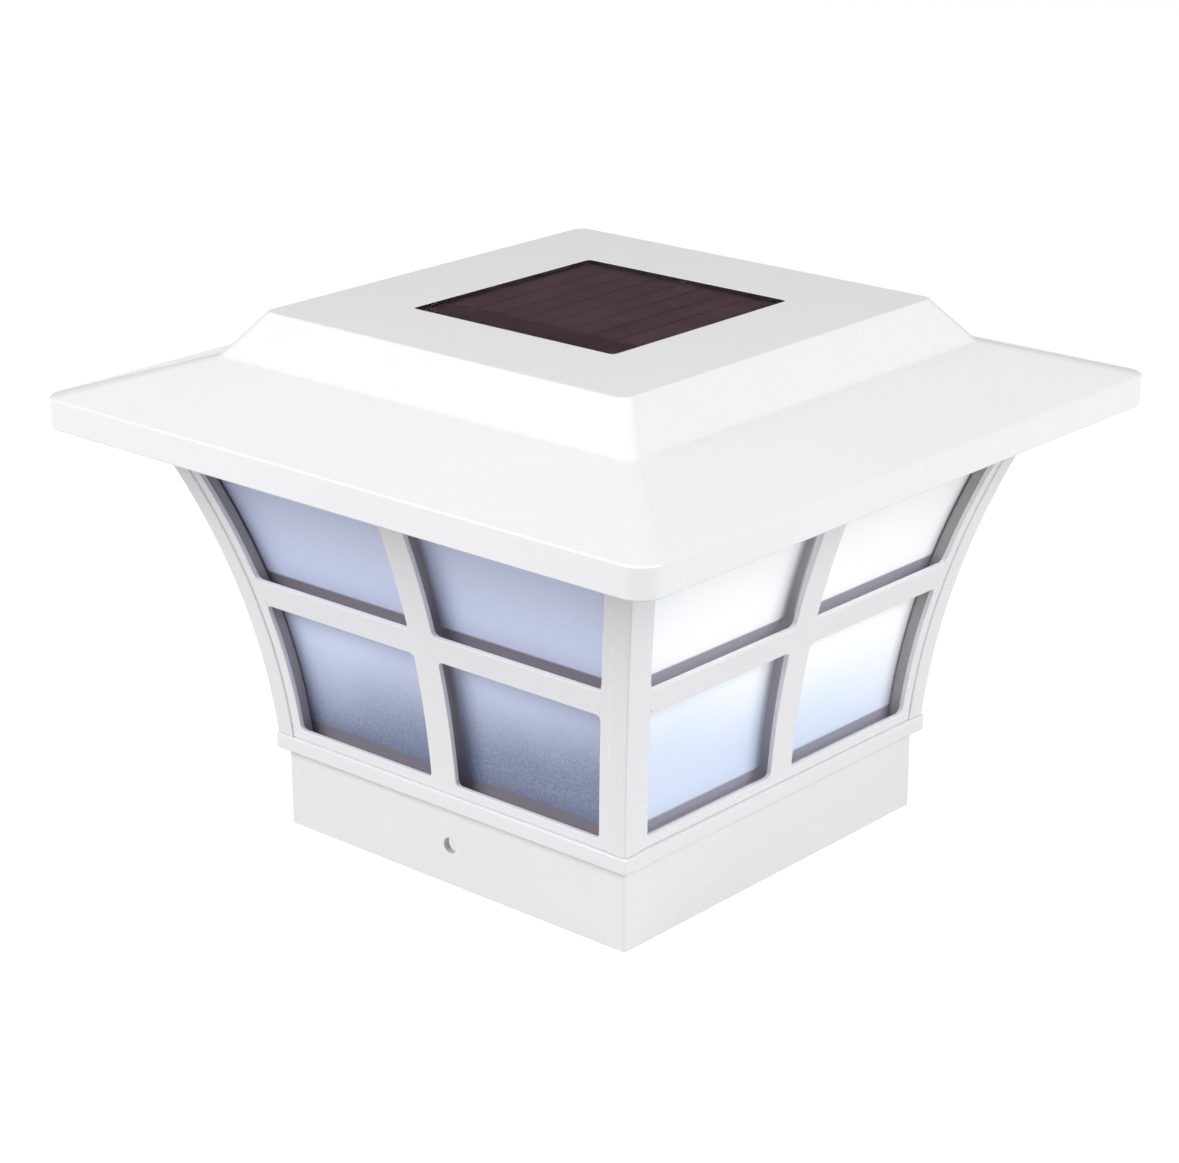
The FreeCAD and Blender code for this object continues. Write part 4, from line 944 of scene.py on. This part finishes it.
@dataclass
class PostCollar:
    """Square sleeve with a closed top plate that slides over the post."""

    half: float = 66.8 * MM
    bore: float = 64.5 * MM
    height: float = 25.0 * MM
    plate: float = 2.5 * MM
    corner: float = 0.8 * MM
    hole_radius: float = 2.4 * MM
    hole_height: float = 12.3 * MM
    ease: float = 0.3 * MM

    def build(self) -> bpy.types.Object:
        """Models the sleeve from its rim up and drills the two side holes.

        Returns:
            The collar's object.
        """
        piece = Workpiece.square("collar_moulding", self.half, self.height)
        piece.pick(Element.VERT)
        piece.round_corners(self.corner, 4)
        piece.pick_rim()
        piece.pull_edges((0.0, 0.0, -self.height))
        self._step_in(piece)
        piece.pull_edges((0.0, 0.0, self.height - self.plate))
        piece.fill_rim()
        piece.merge()
        piece.drill(self._side_drill())
        piece.soften(self.ease, 2)
        piece.shade()
        return settle(piece, "lantern", "white_plastic", WHITE_PLASTIC, "post_collar")

    def _step_in(self, piece: Workpiece) -> None:
        """Carries the rim in from the outer wall to the bore."""
        piece.pull_edges((0.0, 0.0, 0.0))
        share = self.bore / self.half
        bpy.ops.transform.resize(value=(share, share, 1.0), center_override=(0.0, 0.0, 0.0))

    def _side_drill(self) -> Workpiece:
        """A long rod along Y that drills the front and back holes at once."""
        return Workpiece.rod("side_drill", self.hole_radius, 4 * self.half, (0.0, 0.0, self.hole_height),
                             40, (math.pi / 2, 0.0, 0.0))


@dataclass
class SquareRing:
    """A flat square ring of the lantern, with its screw bosses."""

    name: str
    node: str
    outer: float
    opening: float
    low: float
    high: float
    boss_offset: float = 0.0
    boss_radius: float = 0.0
    boss_rise: float = 0.0
    ease: float = 0.5 * MM
    boss_ease: float = 0.3 * MM
    boss_root: float = 1.0 * MM

    def build(self) -> bpy.types.Object:
        """Models the ring from a plane and joins any bosses.

        Returns:
            The ring's object.
        """
        piece = Workpiece.square_ring(self.name, self.opening, self.outer, self.low, self.high, self.ease, 3)
        if self.boss_radius:
            piece.join(Workpiece.bosses(
                "boss", self.boss_offset, self.boss_radius, self.high - self.boss_root,
                self.high + self.boss_rise, ease=self.boss_ease,
            ))
        piece.shade()
        return settle(piece, "lantern", "white_plastic", WHITE_PLASTIC, self.node)


@dataclass
class CornerPosts:
    """Four flared corner posts: an L in section, rebated behind the grilles' edges."""

    leg: float = 8.5 * MM
    face: float = 6.5 * MM
    rebate: float = 2.8 * MM
    notch: float = 6.8 * MM
    proud: float = 0.15 * MM
    ease: float = 0.45 * MM
    steps: int = 26

    def build(self) -> list[bpy.types.Object]:
        """Models the front right post level by level and copies it to the other corners.

        Returns:
            The four posts.
        """
        corner = FLARE.at(FLARE.foot) + self.proud
        master = Workpiece.plane(
            "post_front_right", (corner - self.leg, -corner), (corner, -corner + self.leg), FLARE.foot
        )
        for depth in (self.rebate, self.face, self.notch):
            master.cut((corner - depth, 0.0, FLARE.foot), (1.0, 0.0, 0.0))
            master.cut((0.0, -corner + depth, FLARE.foot), (0.0, 1.0, 0.0))
        master.drop(lambda place, _n: self._is_cut_away(corner - place.x, place.y + corner))
        master.pick(Element.FACE)
        bpy.ops.mesh.dissolve_faces()
        self._carry_up(master)
        master.merge()
        master.soften(self.ease, 3, BEND)
        master.shade()
        self._mark_seal(master.obj.data)
        corners = ("front_right", "back_right", "back_left", "front_left")
        posts = master.quarter_turns(f"post_{name}" for name in corners)
        return [settle(post, "lantern", "white_plastic", WHITE_PLASTIC, f"corner_post_{name}")
                for post, name in zip(posts, corners)]

    def _mark_seal(self, mesh: bpy.types.Mesh) -> None:
        """Marks the faces behind the grille's edge, in the gap between grille and pane, for painted shade.

        Args:
            mesh: The post's mesh.
        """
        # Painted shade mark: 1 on faces deeper than the rebate.
        mask = mesh.attributes.new("covered", "FLOAT", "FACE")
        for item, face in zip(mask.data, mesh.polygons):
            reach = FLARE.at(face.center.z) + self.proud
            depth = min(reach - face.center.x, reach + face.center.y)
            item.value = float(depth > self.rebate + TOUCH)

    def _is_cut_away(self, across: float, along: float) -> bool:
        """True inside a rebate or the inner notch of the section."""
        rebate = (across > self.face and along < self.rebate) or (along > self.face and across < self.rebate)
        return rebate or (across > self.notch and along > self.notch)

    def _carry_up(self, piece: Workpiece) -> None:
        """Extrudes the section upward along the flare."""
        heights = FLARE.levels(FLARE.foot, FLARE.head, self.steps)
        piece.pick(Element.FACE)
        for low, high in zip(heights, heights[1:]):
            lean = FLARE.at(high) - FLARE.at(low)
            piece.raise_faces((lean, -lean, high - low))


@dataclass
class WindowGrilles:
    """Four curved grilles, each with a crossbar and a muntin around four openings."""

    depth: float = 0.4 * MM
    thickness: float = 1.6 * MM
    side_room: float = 6.1 * MM
    stile: float = 10.0 * MM
    muntin: float = 4.9 * MM
    ease: float = 1.6 * MM
    edge: float = 0.35 * MM
    sashes: tuple[tuple[float, float], ...] = ((33.0 * MM, 72.9 * MM), (80.9 * MM, 122.0 * MM))
    tab_middle: float = 34.0 * MM
    tab_half: float = 3.0 * MM
    tab_rise: float = 1.25 * MM
    strip: float = 3.2 * MM

    def build(self) -> list[bpy.types.Object]:
        """Models the front grille and copies it to the other sides.

        Returns:
            The four grilles.
        """
        master = self._flat_pattern()
        self._divide(master)
        master.remap(self._flared)
        self._add_tabs(master)
        master.merge()
        master.apply("SOLIDIFY", thickness=self.thickness, offset=-1.0, use_even_offset=True)
        master.soften(self.edge, 3, BEND)
        master.shade()
        grilles = master.quarter_turns(f"grille_{side.label}" for side in Side)
        return [settle(grille, "lantern", "white_plastic", WHITE_PLASTIC, f"window_grille_{side.label}")
                for grille, side in zip(grilles, Side)]

    def _flat_pattern(self) -> Workpiece:
        """The grille laid out flat at the head's width, openings and all."""
        half = FLARE.at(FLARE.head) - self.side_room
        outline = Workpiece.plane("grille_front", (-half, FLARE.foot), (half, FLARE.head), 0.0)
        holes = []
        far = FLARE.at(FLARE.head) - self.stile
        for low, high in self.sashes:
            for side in (-1, 1):
                x_low, x_high = sorted((side * self.muntin, side * far))
                hole = Workpiece.plane("opening", (x_low, low), (x_high, high), 0.0)
                hole.pick(Element.VERT)
                hole.round_corners(self.ease, 5)
                holes.append(hole)
        outline.join(holes)
        outline.pick(Element.FACE)
        bpy.ops.mesh.delete(type="ONLY_FACE")
        outline.pick(Element.EDGE)
        bpy.ops.mesh.fill(use_beauty=True)
        return outline

    def _divide(self, piece: Workpiece) -> None:
        """Cuts the flat pattern where it will bend and where the tabs stand."""
        for side in (-1, 1):
            for edge in (-1, 1):
                x = side * self.tab_middle + edge * self.tab_half
                piece.cut((x, 0.0, 0.0), (1.0, 0.0, 0.0))
        count = round((FLARE.head - FLARE.foot) / self.strip)
        for height in FLARE.levels(FLARE.foot, FLARE.head, count)[1:-1]:
            piece.cut((0.0, height, 0.0), (0.0, 1.0, 0.0))

    def _flared(self, place: Vector) -> Vector:
        """Carries a point of the flat pattern onto the grille's curved face."""
        height = place.y
        shift = FLARE.at(height) - FLARE.at(FLARE.head)
        far = FLARE.at(FLARE.head) - self.stile
        near = self.muntin + 2 * self.ease
        share = min(1.0, max(0.0, (abs(place.x) - near) / (far - 2 * self.ease - near)))
        x = place.x + math.copysign(1.0, place.x) * shift * share
        return Vector((x, -FLARE.at(height, self.depth), height))

    def _add_tabs(self, piece: Workpiece) -> None:
        """Pulls the four tabs out of the foot and the head."""
        for height, rise in ((FLARE.foot, -self.tab_rise), (FLARE.head, self.tab_rise)):
            piece.pick_rim(
                lambda place, _a, level=height: abs(place.z - level) < TOUCH
                and abs(abs(place.x) - self.tab_middle) < self.tab_half
            )
            piece.pull_edges((0.0, 0.0, rise))


@dataclass
class WindowPanes:
    """Four frosted panes that follow the grilles, with painted shade where the grilles cover them."""

    depth: float = 6.8 * MM
    thickness: float = 1.8 * MM
    foot: float = 28.3 * MM
    head: float = 130.25 * MM
    stile: float = 8.7 * MM
    muntin: float = 4.6 * MM
    mitre: float = 0.35 * MM
    sashes: tuple[tuple[float, float], ...] = ((33.4 * MM, 72.4 * MM), (81.4 * MM, 121.5 * MM))
    # soft, fade and fade_share set how far the painted shade behind the bars fades out.
    soft: float = 0.8 * MM
    fade: float = 2.8 * MM
    fade_share: float = 0.7
    columns: int = 6
    rows: int = 9

    def build(self) -> list[bpy.types.Object]:
        """Models the front pane and copies it to the other sides.

        Returns:
            The four panes.
        """
        master = self._sheet()
        master.apply("SOLIDIFY", thickness=self.thickness, offset=-1.0, use_even_offset=True)
        master.shade(BEND)
        panes = master.quarter_turns(f"pane_{side.label}" for side in Side)
        return [settle(pane, "lantern", "frosted_pane", PANE_FINISH[side], f"window_pane_{side.label}")
                for pane, side in zip(panes, Side)]

    def _sheet(self) -> Workpiece:
        """The pane's front face as a grid, with its painted shade mask."""
        piece = Workpiece.plane("pane_front", (-1.0, self.foot), (1.0, self.head), 0.0)
        for step in range(1, 2 * self.columns):
            piece.cut((step / self.columns - 1, 0.0, 0.0), (1.0, 0.0, 0.0))
        for height in self._heights():
            piece.cut((0.0, height, 0.0), (0.0, 1.0, 0.0))
        piece.remap(self._flared)
        piece.merge()
        deselect_all()
        # Painted shade mark for the parts behind the bars.
        mask = piece.obj.data.attributes.new("covered", "FLOAT", "POINT")
        for item, vert in zip(mask.data, piece.obj.data.vertices):
            item.value = self._covered(vert.co)
        return piece

    def _stops(self, height: float) -> list[float]:
        """Where the columns stand at a height, from the middle out."""
        edge = FLARE.at(height) - self.stile
        half = FLARE.at(height, self.depth) - self.mitre
        return [0.0, self.muntin - self.fade, self.muntin, (edge + self.muntin) / 2,
                edge, edge + self.fade_share * (half - edge), half]

    def _heights(self) -> list[float]:
        """Where the rows stand: at each opening's edges and along the curve between."""
        heights = set()
        for low, high in self.sashes:
            heights.update((low, low + self.soft, high - self.soft, high))
            heights.update(FLARE.levels(low + self.soft, high - self.soft, self.rows)[1:-1])
        return sorted(heights)

    def _flared(self, place: Vector) -> Vector:
        """Carries a point of the flat grid onto the pane's curved face."""
        column = round(abs(place.x) * self.columns)
        x = math.copysign(self._stops(place.y)[column], place.x)
        return Vector((x, -FLARE.at(place.y, self.depth), place.y))

    def _covered(self, place: Vector) -> float:
        """How far a point lies behind the grille's bars, as painted shade: 0 in the clear, 1 behind them."""
        stops = self._stops(place.z)
        across = abs(place.x)
        clear_x = stops[2] - TOUCH <= across <= stops[4] + TOUCH
        clear_z = any(
            low + self.soft - TOUCH <= place.z <= high - self.soft + TOUCH
            for low, high in self.sashes
        )
        return 0.0 if clear_x and clear_z else 1.0


# ---- Roof ---------------------------------------------------------------------------------

@dataclass(frozen=True)
class Ring:
    """One rounded square of the roof's moulding."""

    half: float
    height: float
    corner: float


def rounded_run(points: list[Triple], steps: int = 5) -> list[tuple[float, float]]:
    """A section line with its corners rounded.

    Args:
        points: Half width, height and corner radius of each corner; the ends stay sharp.
        steps: Segments in each round.

    Returns:
        Half width and height of every point along the line.
    """
    line = [points[0][:2]]
    for before, corner, after in zip(points, points[1:], points[2:]):
        here = Vector(corner[:2])
        back = (Vector(before[:2]) - here).normalized()
        ahead = (Vector(after[:2]) - here).normalized()
        radius = corner[2]
        if radius <= 0.0:
            line.append(tuple(here))
            continue
        opening = back.angle(ahead)
        reach = radius / math.tan(opening / 2)
        middle = here + (back + ahead).normalized() * (radius / math.sin(opening / 2))
        start = here + back * reach - middle
        sweep = math.pi - opening
        turn = math.copysign(1.0, start.x * (here + ahead * reach - middle).y
                             - start.y * (here + ahead * reach - middle).x)
        for step in range(steps + 1):
            angle = turn * sweep * step / steps
            cos, sin = math.cos(angle), math.sin(angle)
            line.append((middle.x + start.x * cos - start.y * sin,
                         middle.y + start.x * sin + start.y * cos))
    line.append(points[-1][:2])
    return line


@dataclass
class Roof:
    """The roof's moulding: panel recess, flat top, steep slope, brim and fascia, and the
    skirt, shoulder, ribs and bosses under it."""

    recess: float = 38.25 * MM
    recess_floor: float = 157.2 * MM
    plateau: float = 68.5 * MM
    plateau_top: float = 160.4 * MM
    crease: float = 78.8 * MM
    crease_height: float = 147.8 * MM
    brim: float = 114.65 * MM
    fascia_top: float = 136.5 * MM
    fascia_foot: float = 127.4 * MM
    wall: float = 2.4 * MM
    tray: float = 41.0 * MM
    tray_foot: float = 154.8 * MM
    skirt_inner: float = 78.6 * MM
    skirt_outer: float = 80.6 * MM
    skirt_foot: float = 127.0 * MM
    skirt_head: float = 145.6 * MM
    shoulder: float = 86.0 * MM
    seat: float = 132.0 * MM
    shoulder_head: float = 134.0 * MM
    rib_half: float = 0.8 * MM
    rib_spacing: float = 56.0 * MM
    rib_foot: float = 133.0 * MM
    boss_offset: float = 68.0 * MM
    boss_radius: float = 3.5 * MM
    boss_head: float = 152.5 * MM
    lead_hole: float = 4.0 * MM
    corner_steps: int = 8
    recess_corner: float = 1.5 * MM
    plateau_corner: float = 3.6 * MM
    crease_corner: float = 4.4 * MM
    brim_corner: float = 7.0 * MM
    under_brim: float = 134.75 * MM
    under_crease: tuple[float, float] = (76.95 * MM, 145.9 * MM)
    under_slope: float = 66.9 * MM
    recess_lip: float = 0.15 * MM
    plateau_round: float = 0.9 * MM
    crease_round: float = 2.4 * MM
    fascia_round: float = 0.9 * MM
    foot_round: float = 0.5 * MM
    least_corner: float = 0.8 * MM
    wall_ease: float = 0.25 * MM
    lead_drill: float = 20 * MM
    rib_sink: float = 0.6
    shade_angle: float = 38.0

    def build(self) -> bpy.types.Object:
        """Models the shell ring by ring and joins the ribwork under it.

        Returns:
            The roof's object.
        """
        rings = self._rings()
        first = rings[0]
        piece = Workpiece.square("roof_moulding", first.half, first.height)
        piece.pick(Element.VERT)
        piece.round_corners(first.corner, self.corner_steps)
        for before, after in zip(rings, rings[1:]):
            self._grow(piece, before, after)
        piece.pick_rim()
        piece.fill_rim()
        piece.merge(FINE)
        piece.drill(Workpiece.rod("lead_drill", self.lead_hole, self.lead_drill, (0.0, 0.0, self.tray_foot)))
        piece.join([*self._walls(), *self._ribs(), *self._bosses()])
        piece.shade(self.shade_angle)
        self._mark_recess(piece.obj.data)
        return settle(piece, "roof", "white_plastic", ROOF_PLASTIC, "roof_shell")

    def _mark_recess(self, mesh: bpy.types.Mesh) -> None:
        """Marks the recess's walls for painted shade.

        Args:
            mesh: The roof's mesh.
        """
        # Painted shade mark: 1 on the recess's upright walls.
        mask = mesh.attributes.new("covered", "FLOAT", "FACE")
        for item, face in zip(mask.data, mesh.polygons):
            reach = max(abs(face.center.x), abs(face.center.y))
            inside = reach < self.recess + TOUCH
            upright = self.recess_floor < face.center.z < self.plateau_top - 0.1 * MM
            item.value = float(inside and upright)

    def _rings(self) -> list[Ring]:
        """Every ring from the recess floor, over the top and back to the tray's foot."""
        outer = rounded_run([
            (self.recess, self.recess_floor, 0.0),
            (self.recess, self.plateau_top, self.recess_lip),
            (self.plateau, self.plateau_top, self.plateau_round),
            (self.crease, self.crease_height, self.crease_round),
            (self.brim, self.fascia_top, self.fascia_round),
            (self.brim, self.fascia_foot, self.foot_round),
            (self.brim - self.wall, self.fascia_foot, 0.0),
        ])
        inner = [
            (self.brim - self.wall, self.under_brim),
            self.under_crease,
            (self.under_slope, self.plateau_top - self.wall),
            (self.tray, self.plateau_top - self.wall),
            (self.tray, self.tray_foot),
        ]
        rings = [Ring(half, height, self._corner(half)) for half, height in outer]
        rings += [Ring(half, height, max(self.least_corner, self._corner(half) - self.wall / 2))
                  for half, height in inner]
        return rings

    def _corner(self, half: float) -> float:
        """The plan corner's radius at a half width."""
        known = ((self.recess, self.recess_corner), (self.plateau, self.plateau_corner),
                 (self.crease, self.crease_corner), (self.brim, self.brim_corner))
        for (low, small), (high, large) in zip(known, known[1:]):
            if half <= high:
                share = max(0.0, (half - low) / (high - low))
                return small + (large - small) * share
        return known[-1][1]

    def _grow(self, piece: Workpiece, before: Ring, after: Ring) -> None:
        """Extrudes the open rim and carries it to the next ring.

        Args:
            piece: The roof.
            before: The ring where the rim lies now.
            after: The ring that it moves to.
        """
        piece.pick_rim()
        piece.pull_edges((0.0, 0.0, 0.0))
        mesh = bmesh.from_edit_mesh(piece.obj.data)
        share = after.corner / before.corner
        for vert in (v for v in mesh.verts if v.select):
            for axis in (0, 1):
                side = math.copysign(1.0, vert.co[axis])
                from_middle = vert.co[axis] - side * (before.half - before.corner)
                vert.co[axis] = side * (after.half - after.corner) + from_middle * share
            vert.co.z = after.height
        bmesh.update_edit_mesh(piece.obj.data)

    def _walls(self) -> list[Workpiece]:
        """The skirt and the shoulder: two square rings."""
        made = []
        for name, inner, outer, low, high in (
            ("skirt", self.skirt_inner, self.skirt_outer, self.skirt_foot, self.skirt_head),
            ("shoulder", self.skirt_outer - MM, self.shoulder, self.seat, self.shoulder_head),
        ):
            made.append(Workpiece.square_ring(name, inner, outer, low, high, self.wall_ease, 2))
        return made

    def _ribs(self) -> list[Workpiece]:
        """Twelve ribs that run from the skirt out to the fascia under the brim."""
        near, far = self.skirt_outer - MM, self.brim - self.wall / 2
        fall = (self.crease_height - self.fascia_top) / (self.brim - self.crease)
        under = self.wall * self.rib_sink
        master = Workpiece.plane("rib", (near, -self.rib_half), (far, self.rib_half), self.rib_foot)
        master.pick(Element.FACE)
        at_near = self.crease_height - (near - self.crease) * fall - under
        at_far = self.fascia_top - under
        master.raise_faces((0.0, 0.0, at_far - self.rib_foot))
        master.pick(Element.VERT, lambda place, _n: place.z > self.rib_foot + MM and place.x < near + MM)
        bpy.ops.transform.translate(value=(0.0, 0.0, at_near - at_far))
        master.merge()
        made = []
        for side, index in product(Side, (-1, 0, 1)):
            rib = master.shifted("rib_shifted", (0.0, index * self.rib_spacing, 0.0))
            made.append(rib.copy(f"rib_{side.label}_{index + 1}", QUARTER * side.value))
            rib.discard()
        master.discard()
        return made

    def _bosses(self) -> list[Workpiece]:
        """Four screw bosses that hold the light plate."""
        return Workpiece.bosses("roof_boss", self.boss_offset, self.boss_radius, self.rib_foot,
                                self.boss_head, 24)


@dataclass
class SolarPanel:
    """Backing board, strips of cell and clear cover, stacked in the roof's recess."""

    half: float = 38.1 * MM
    backing: tuple[float, float] = (157.7 * MM, 158.9 * MM)
    cover: tuple[float, float] = (159.24 * MM, 160.4 * MM)
    cell_low: float = 158.9 * MM
    cell_high: float = 159.2 * MM
    cells: int = 8
    side_margin: float = 3.0 * MM
    front_margin: float = 14.0 * MM
    back_margin: float = 3.6 * MM
    gap: float = 1.1 * MM
    corner: float = 1.2 * MM
    board_ease: float = 0.2 * MM
    cover_ease: float = 0.15 * MM
    ease_angle: float = 60.0
    cell_corner: float = 0.4 * MM
    cell_rim: float = 0.12 * MM
    rim_share: float = 0.8

    def build(self) -> list[bpy.types.Object]:
        """Models the three layers.

        Returns:
            The backing board, the cells and the cover.
        """
        board = self._plate("panel_board", self.backing, self.board_ease)
        cover = self._plate("panel_glass", self.cover, self.cover_ease)
        strips = self._strips()
        return [
            settle(board, "roof", "panel_board", PANEL_BOARD, "solar_backing"),
            settle(strips, "roof", "solar_cell", SOLAR_STRIPS, "solar_cells"),
            settle(cover, "roof", "panel_cover", PANEL_COVER, "solar_glass"),
        ]

    def _plate(self, name: str, span: tuple[float, float], round_width: float) -> Workpiece:
        """A square plate with eased corners and edges.

        Args:
            name: The plate's name.
            span: Its bottom and top.
            round_width: The round along its edges.

        Returns:
            The plate.
        """
        low, high = span
        piece = Workpiece.square(name, self.half, low)
        piece.pick(Element.VERT)
        piece.round_corners(self.corner, 4)
        piece.raise_all(high - low)
        piece.merge()
        piece.soften(round_width, 2, self.ease_angle)
        piece.shade()
        return piece

    def _strips(self) -> Workpiece:
        """Eight long cells side by side, each with a stepped rim."""
        pitch = (2 * (self.half - self.side_margin) + self.gap) / self.cells
        left = -self.half + self.side_margin
        low = (left, -self.half + self.front_margin)
        high = (left + pitch - self.gap, self.half - self.back_margin)
        master = Workpiece.plane("cell_strips", low, high, self.cell_low)
        master.pick(Element.VERT)
        master.round_corners(self.cell_corner, 3)
        thickness = self.cell_high - self.cell_low
        master.raise_all(thickness * self.rim_share)
        bpy.ops.mesh.inset(thickness=self.cell_rim)
        bpy.ops.transform.translate(value=(0.0, 0.0, thickness * (1 - self.rim_share)))
        master.merge(FINE)
        master.join([master.shifted(f"strip_{index}", (index * pitch, 0.0, 0.0))
                     for index in range(1, self.cells)])
        master.shade()
        return master


# ---- Pieces that keep their CAD shape -----------------------------------------------------

@dataclass
class InnerParts:
    """The carried-over nodes, each with its finish."""

    finishes: dict[str, Finish] = field(default_factory=lambda: {
        "collar_screws": SCREW_STEEL, "post_screws": SCREW_STEEL, "ring_screws": SCREW_STEEL,
        "plate_screws": SCREW_STEEL, "board_screws": SCREW_STEEL,
        "panel_gasket": BLACK_FOAM, "light_plate": INNER_PLASTIC, "battery_door": INNER_PLASTIC,
        "battery": BATTERY_SLEEVE, "battery_contact_plate": CONTACT_NICKEL,
        "battery_contact_spring": CONTACT_NICKEL, "circuit_board": GREEN_BOARD,
        "leds": LED_BODY, "driver_chip": CHIP_BLACK, "choke_coil": FERRITE,
        "led_dome": CLEAR_LENS, "switch_body": CHIP_BLACK, "switch_slider": CHIP_BLACK,
        "panel_lead_red": RED_LEAD, "panel_lead_black": BLACK_LEAD,
        "battery_lead_red": RED_LEAD, "battery_lead_black": BLACK_LEAD,
    })

    def dress(self, nodes: dict[str, bpy.types.Object]) -> None:
        """Gives every node that is still shown its finish.

        Args:
            nodes: The frame's nodes by name.
        """
        for name, obj in nodes.items():
            if obj.hide_render:
                continue
            finish = self.finishes.get(name, WHITE_PLASTIC)
            obj.data.materials.clear()
            obj.data.materials.append(finish.material())
            LOG.info("%s keeps its CAD shape, finished in %s", name, finish.name)


# ---- Studio -------------------------------------------------------------------------------

@dataclass
class Softbox:
    """One rectangular studio lamp."""

    name: str
    place: Triple
    aim: Triple
    size: tuple[float, float]
    power: float
    colour: Colour = (1.0, 1.0, 1.0)

    def build(self) -> None:
        """Hangs the lamp and points it at its aim."""
        data = bpy.data.lights.new(self.name, "AREA")
        data.shape = "RECTANGLE"
        data.size, data.size_y = self.size
        data.energy = self.power
        data.color = self.colour
        lamp = bpy.data.objects.new(self.name, data)
        bpy.context.scene.collection.objects.link(lamp)
        lamp.location = self.place
        direction = Vector(self.aim) - Vector(self.place)
        lamp.rotation_euler = direction.to_track_quat("-Z", "Y").to_euler()


@dataclass
class Studio:
    """Pale floor, white surround, soft lamps and the photograph's camera."""

    lens: float = 92.67
    sensor: float = 36.0
    place: Triple = (0.5619, -0.6378, 0.3826)
    azimuth: float = 41.62
    elevation: float = 19.87
    roll: float = -0.28
    sky: float = 0.4
    floor_tone: float = 0.45
    floor_glow: float = 0.75
    floor_reach: float = 6.0
    floor_drop: float = 0.2 * MM
    lamps: list[Softbox] = field(default_factory=lambda: [
        Softbox("front_left_box", (-0.55, -1.35, 1.05), (0.0, 0.0, 0.1), (1.2, 0.9), 23.0),
        Softbox("right_box", (1.45, 0.25, 0.8), (0.0, 0.0, 0.1), (1.2, 1.0), 18.0),
    ])

    def build(self) -> None:
        """Sets up the whole studio."""
        self._floor()
        self._surround()
        for lamp in self.lamps:
            lamp.build()
        self._camera()
        bpy.context.scene.view_settings.view_transform = "Standard"

    def _floor(self) -> None:
        """A wide pale floor that shows white but keeps the object's shadow."""
        piece = Workpiece.square("studio_floor", self.floor_reach, -self.floor_drop)
        piece.pick(Element.FACE)
        bpy.ops.mesh.subdivide(number_cuts=4)
        deselect_all()
        made = bpy.data.materials.new("studio_floor")
        desk = NodeDesk.fresh(made)
        matt = desk.node("ShaderNodeBsdfDiffuse")
        matt.inputs[0].default_value = grey(self.floor_tone)
        glow = desk.node("ShaderNodeEmission")
        path = desk.node("ShaderNodeLightPath")
        seen = desk.math("MAXIMUM", path.outputs["Is Camera Ray"], path.outputs["Is Glossy Ray"])
        seen = desk.math("MAXIMUM", seen, path.outputs["Is Transmission Ray"])
        desk.link(desk.math("MULTIPLY", seen, self.floor_glow), glow.inputs["Strength"])
        both = desk.node("ShaderNodeAddShader")
        desk.link(matt.outputs[0], both.inputs[0])
        desk.link(glow.outputs[0], both.inputs[1])
        desk.link(both.outputs[0], desk.node("ShaderNodeOutputMaterial").inputs[0])
        piece.obj.data.materials.append(made)

    def _surround(self) -> None:
        """A white surround, lower in strength where it only lights the object."""
        world = bpy.data.worlds.new("studio_surround")
        bpy.context.scene.world = world
        desk = NodeDesk.fresh(world)
        path = desk.node("ShaderNodeLightPath")
        seen = desk.math("MAXIMUM", path.outputs["Is Camera Ray"], path.outputs["Is Transmission Ray"])
        back = desk.node("ShaderNodeBackground")
        desk.fill(back, {"Color": grey(1.0), "Strength": desk.remap(seen, 0.0, 1.0, self.sky, 1.0)})
        desk.link(back.outputs[0], desk.node("ShaderNodeOutputWorld").inputs[0])

    def _camera(self) -> None:
        """The photograph's camera."""
        data = bpy.data.cameras.new("camera")
        data.lens = self.lens
        data.sensor_width = self.sensor
        data.clip_start = 0.01
        data.clip_end = 50.0
        camera = bpy.data.objects.new("camera", data)
        bpy.context.scene.collection.objects.link(camera)
        bpy.context.scene.camera = camera
        azimuth, elevation = math.radians(self.azimuth), math.radians(self.elevation)
        back = Vector((math.sin(azimuth) * math.cos(elevation),
                       -math.cos(azimuth) * math.cos(elevation), math.sin(elevation)))
        right = Vector((math.cos(azimuth), math.sin(azimuth), 0.0))
        up = back.cross(right)
        level = Matrix((right, up, back)).transposed()
        tilt = Matrix.Rotation(math.radians(self.roll), 3, "Z")
        camera.matrix_world = Matrix.Translation(self.place) @ (level @ tilt).to_4x4()


def main() -> None:
    """Builds the light piece by piece around its frame."""
    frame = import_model()
    deselect_all()
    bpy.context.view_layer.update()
    PostCollar().build()
    SquareRing("ledge_ring", "base_ring", outer=69.5 * MM, opening=50.0 * MM, low=25.0 * MM,
               high=FLARE.foot, boss_offset=55.0 * MM, boss_radius=3.2 * MM, boss_rise=4.2 * MM).build()
    CornerPosts().build()
    WindowGrilles().build()
    WindowPanes().build()
    SquareRing("cap_ring", "top_ring", outer=95.8 * MM, opening=81.0 * MM, low=FLARE.head,
               high=132.0 * MM).build()
    Roof().build()
    SolarPanel().build()
    InnerParts().dress(frame["nodes"])
    Studio().build()
    deselect_all()


if __name__ == "__main__":
    main()
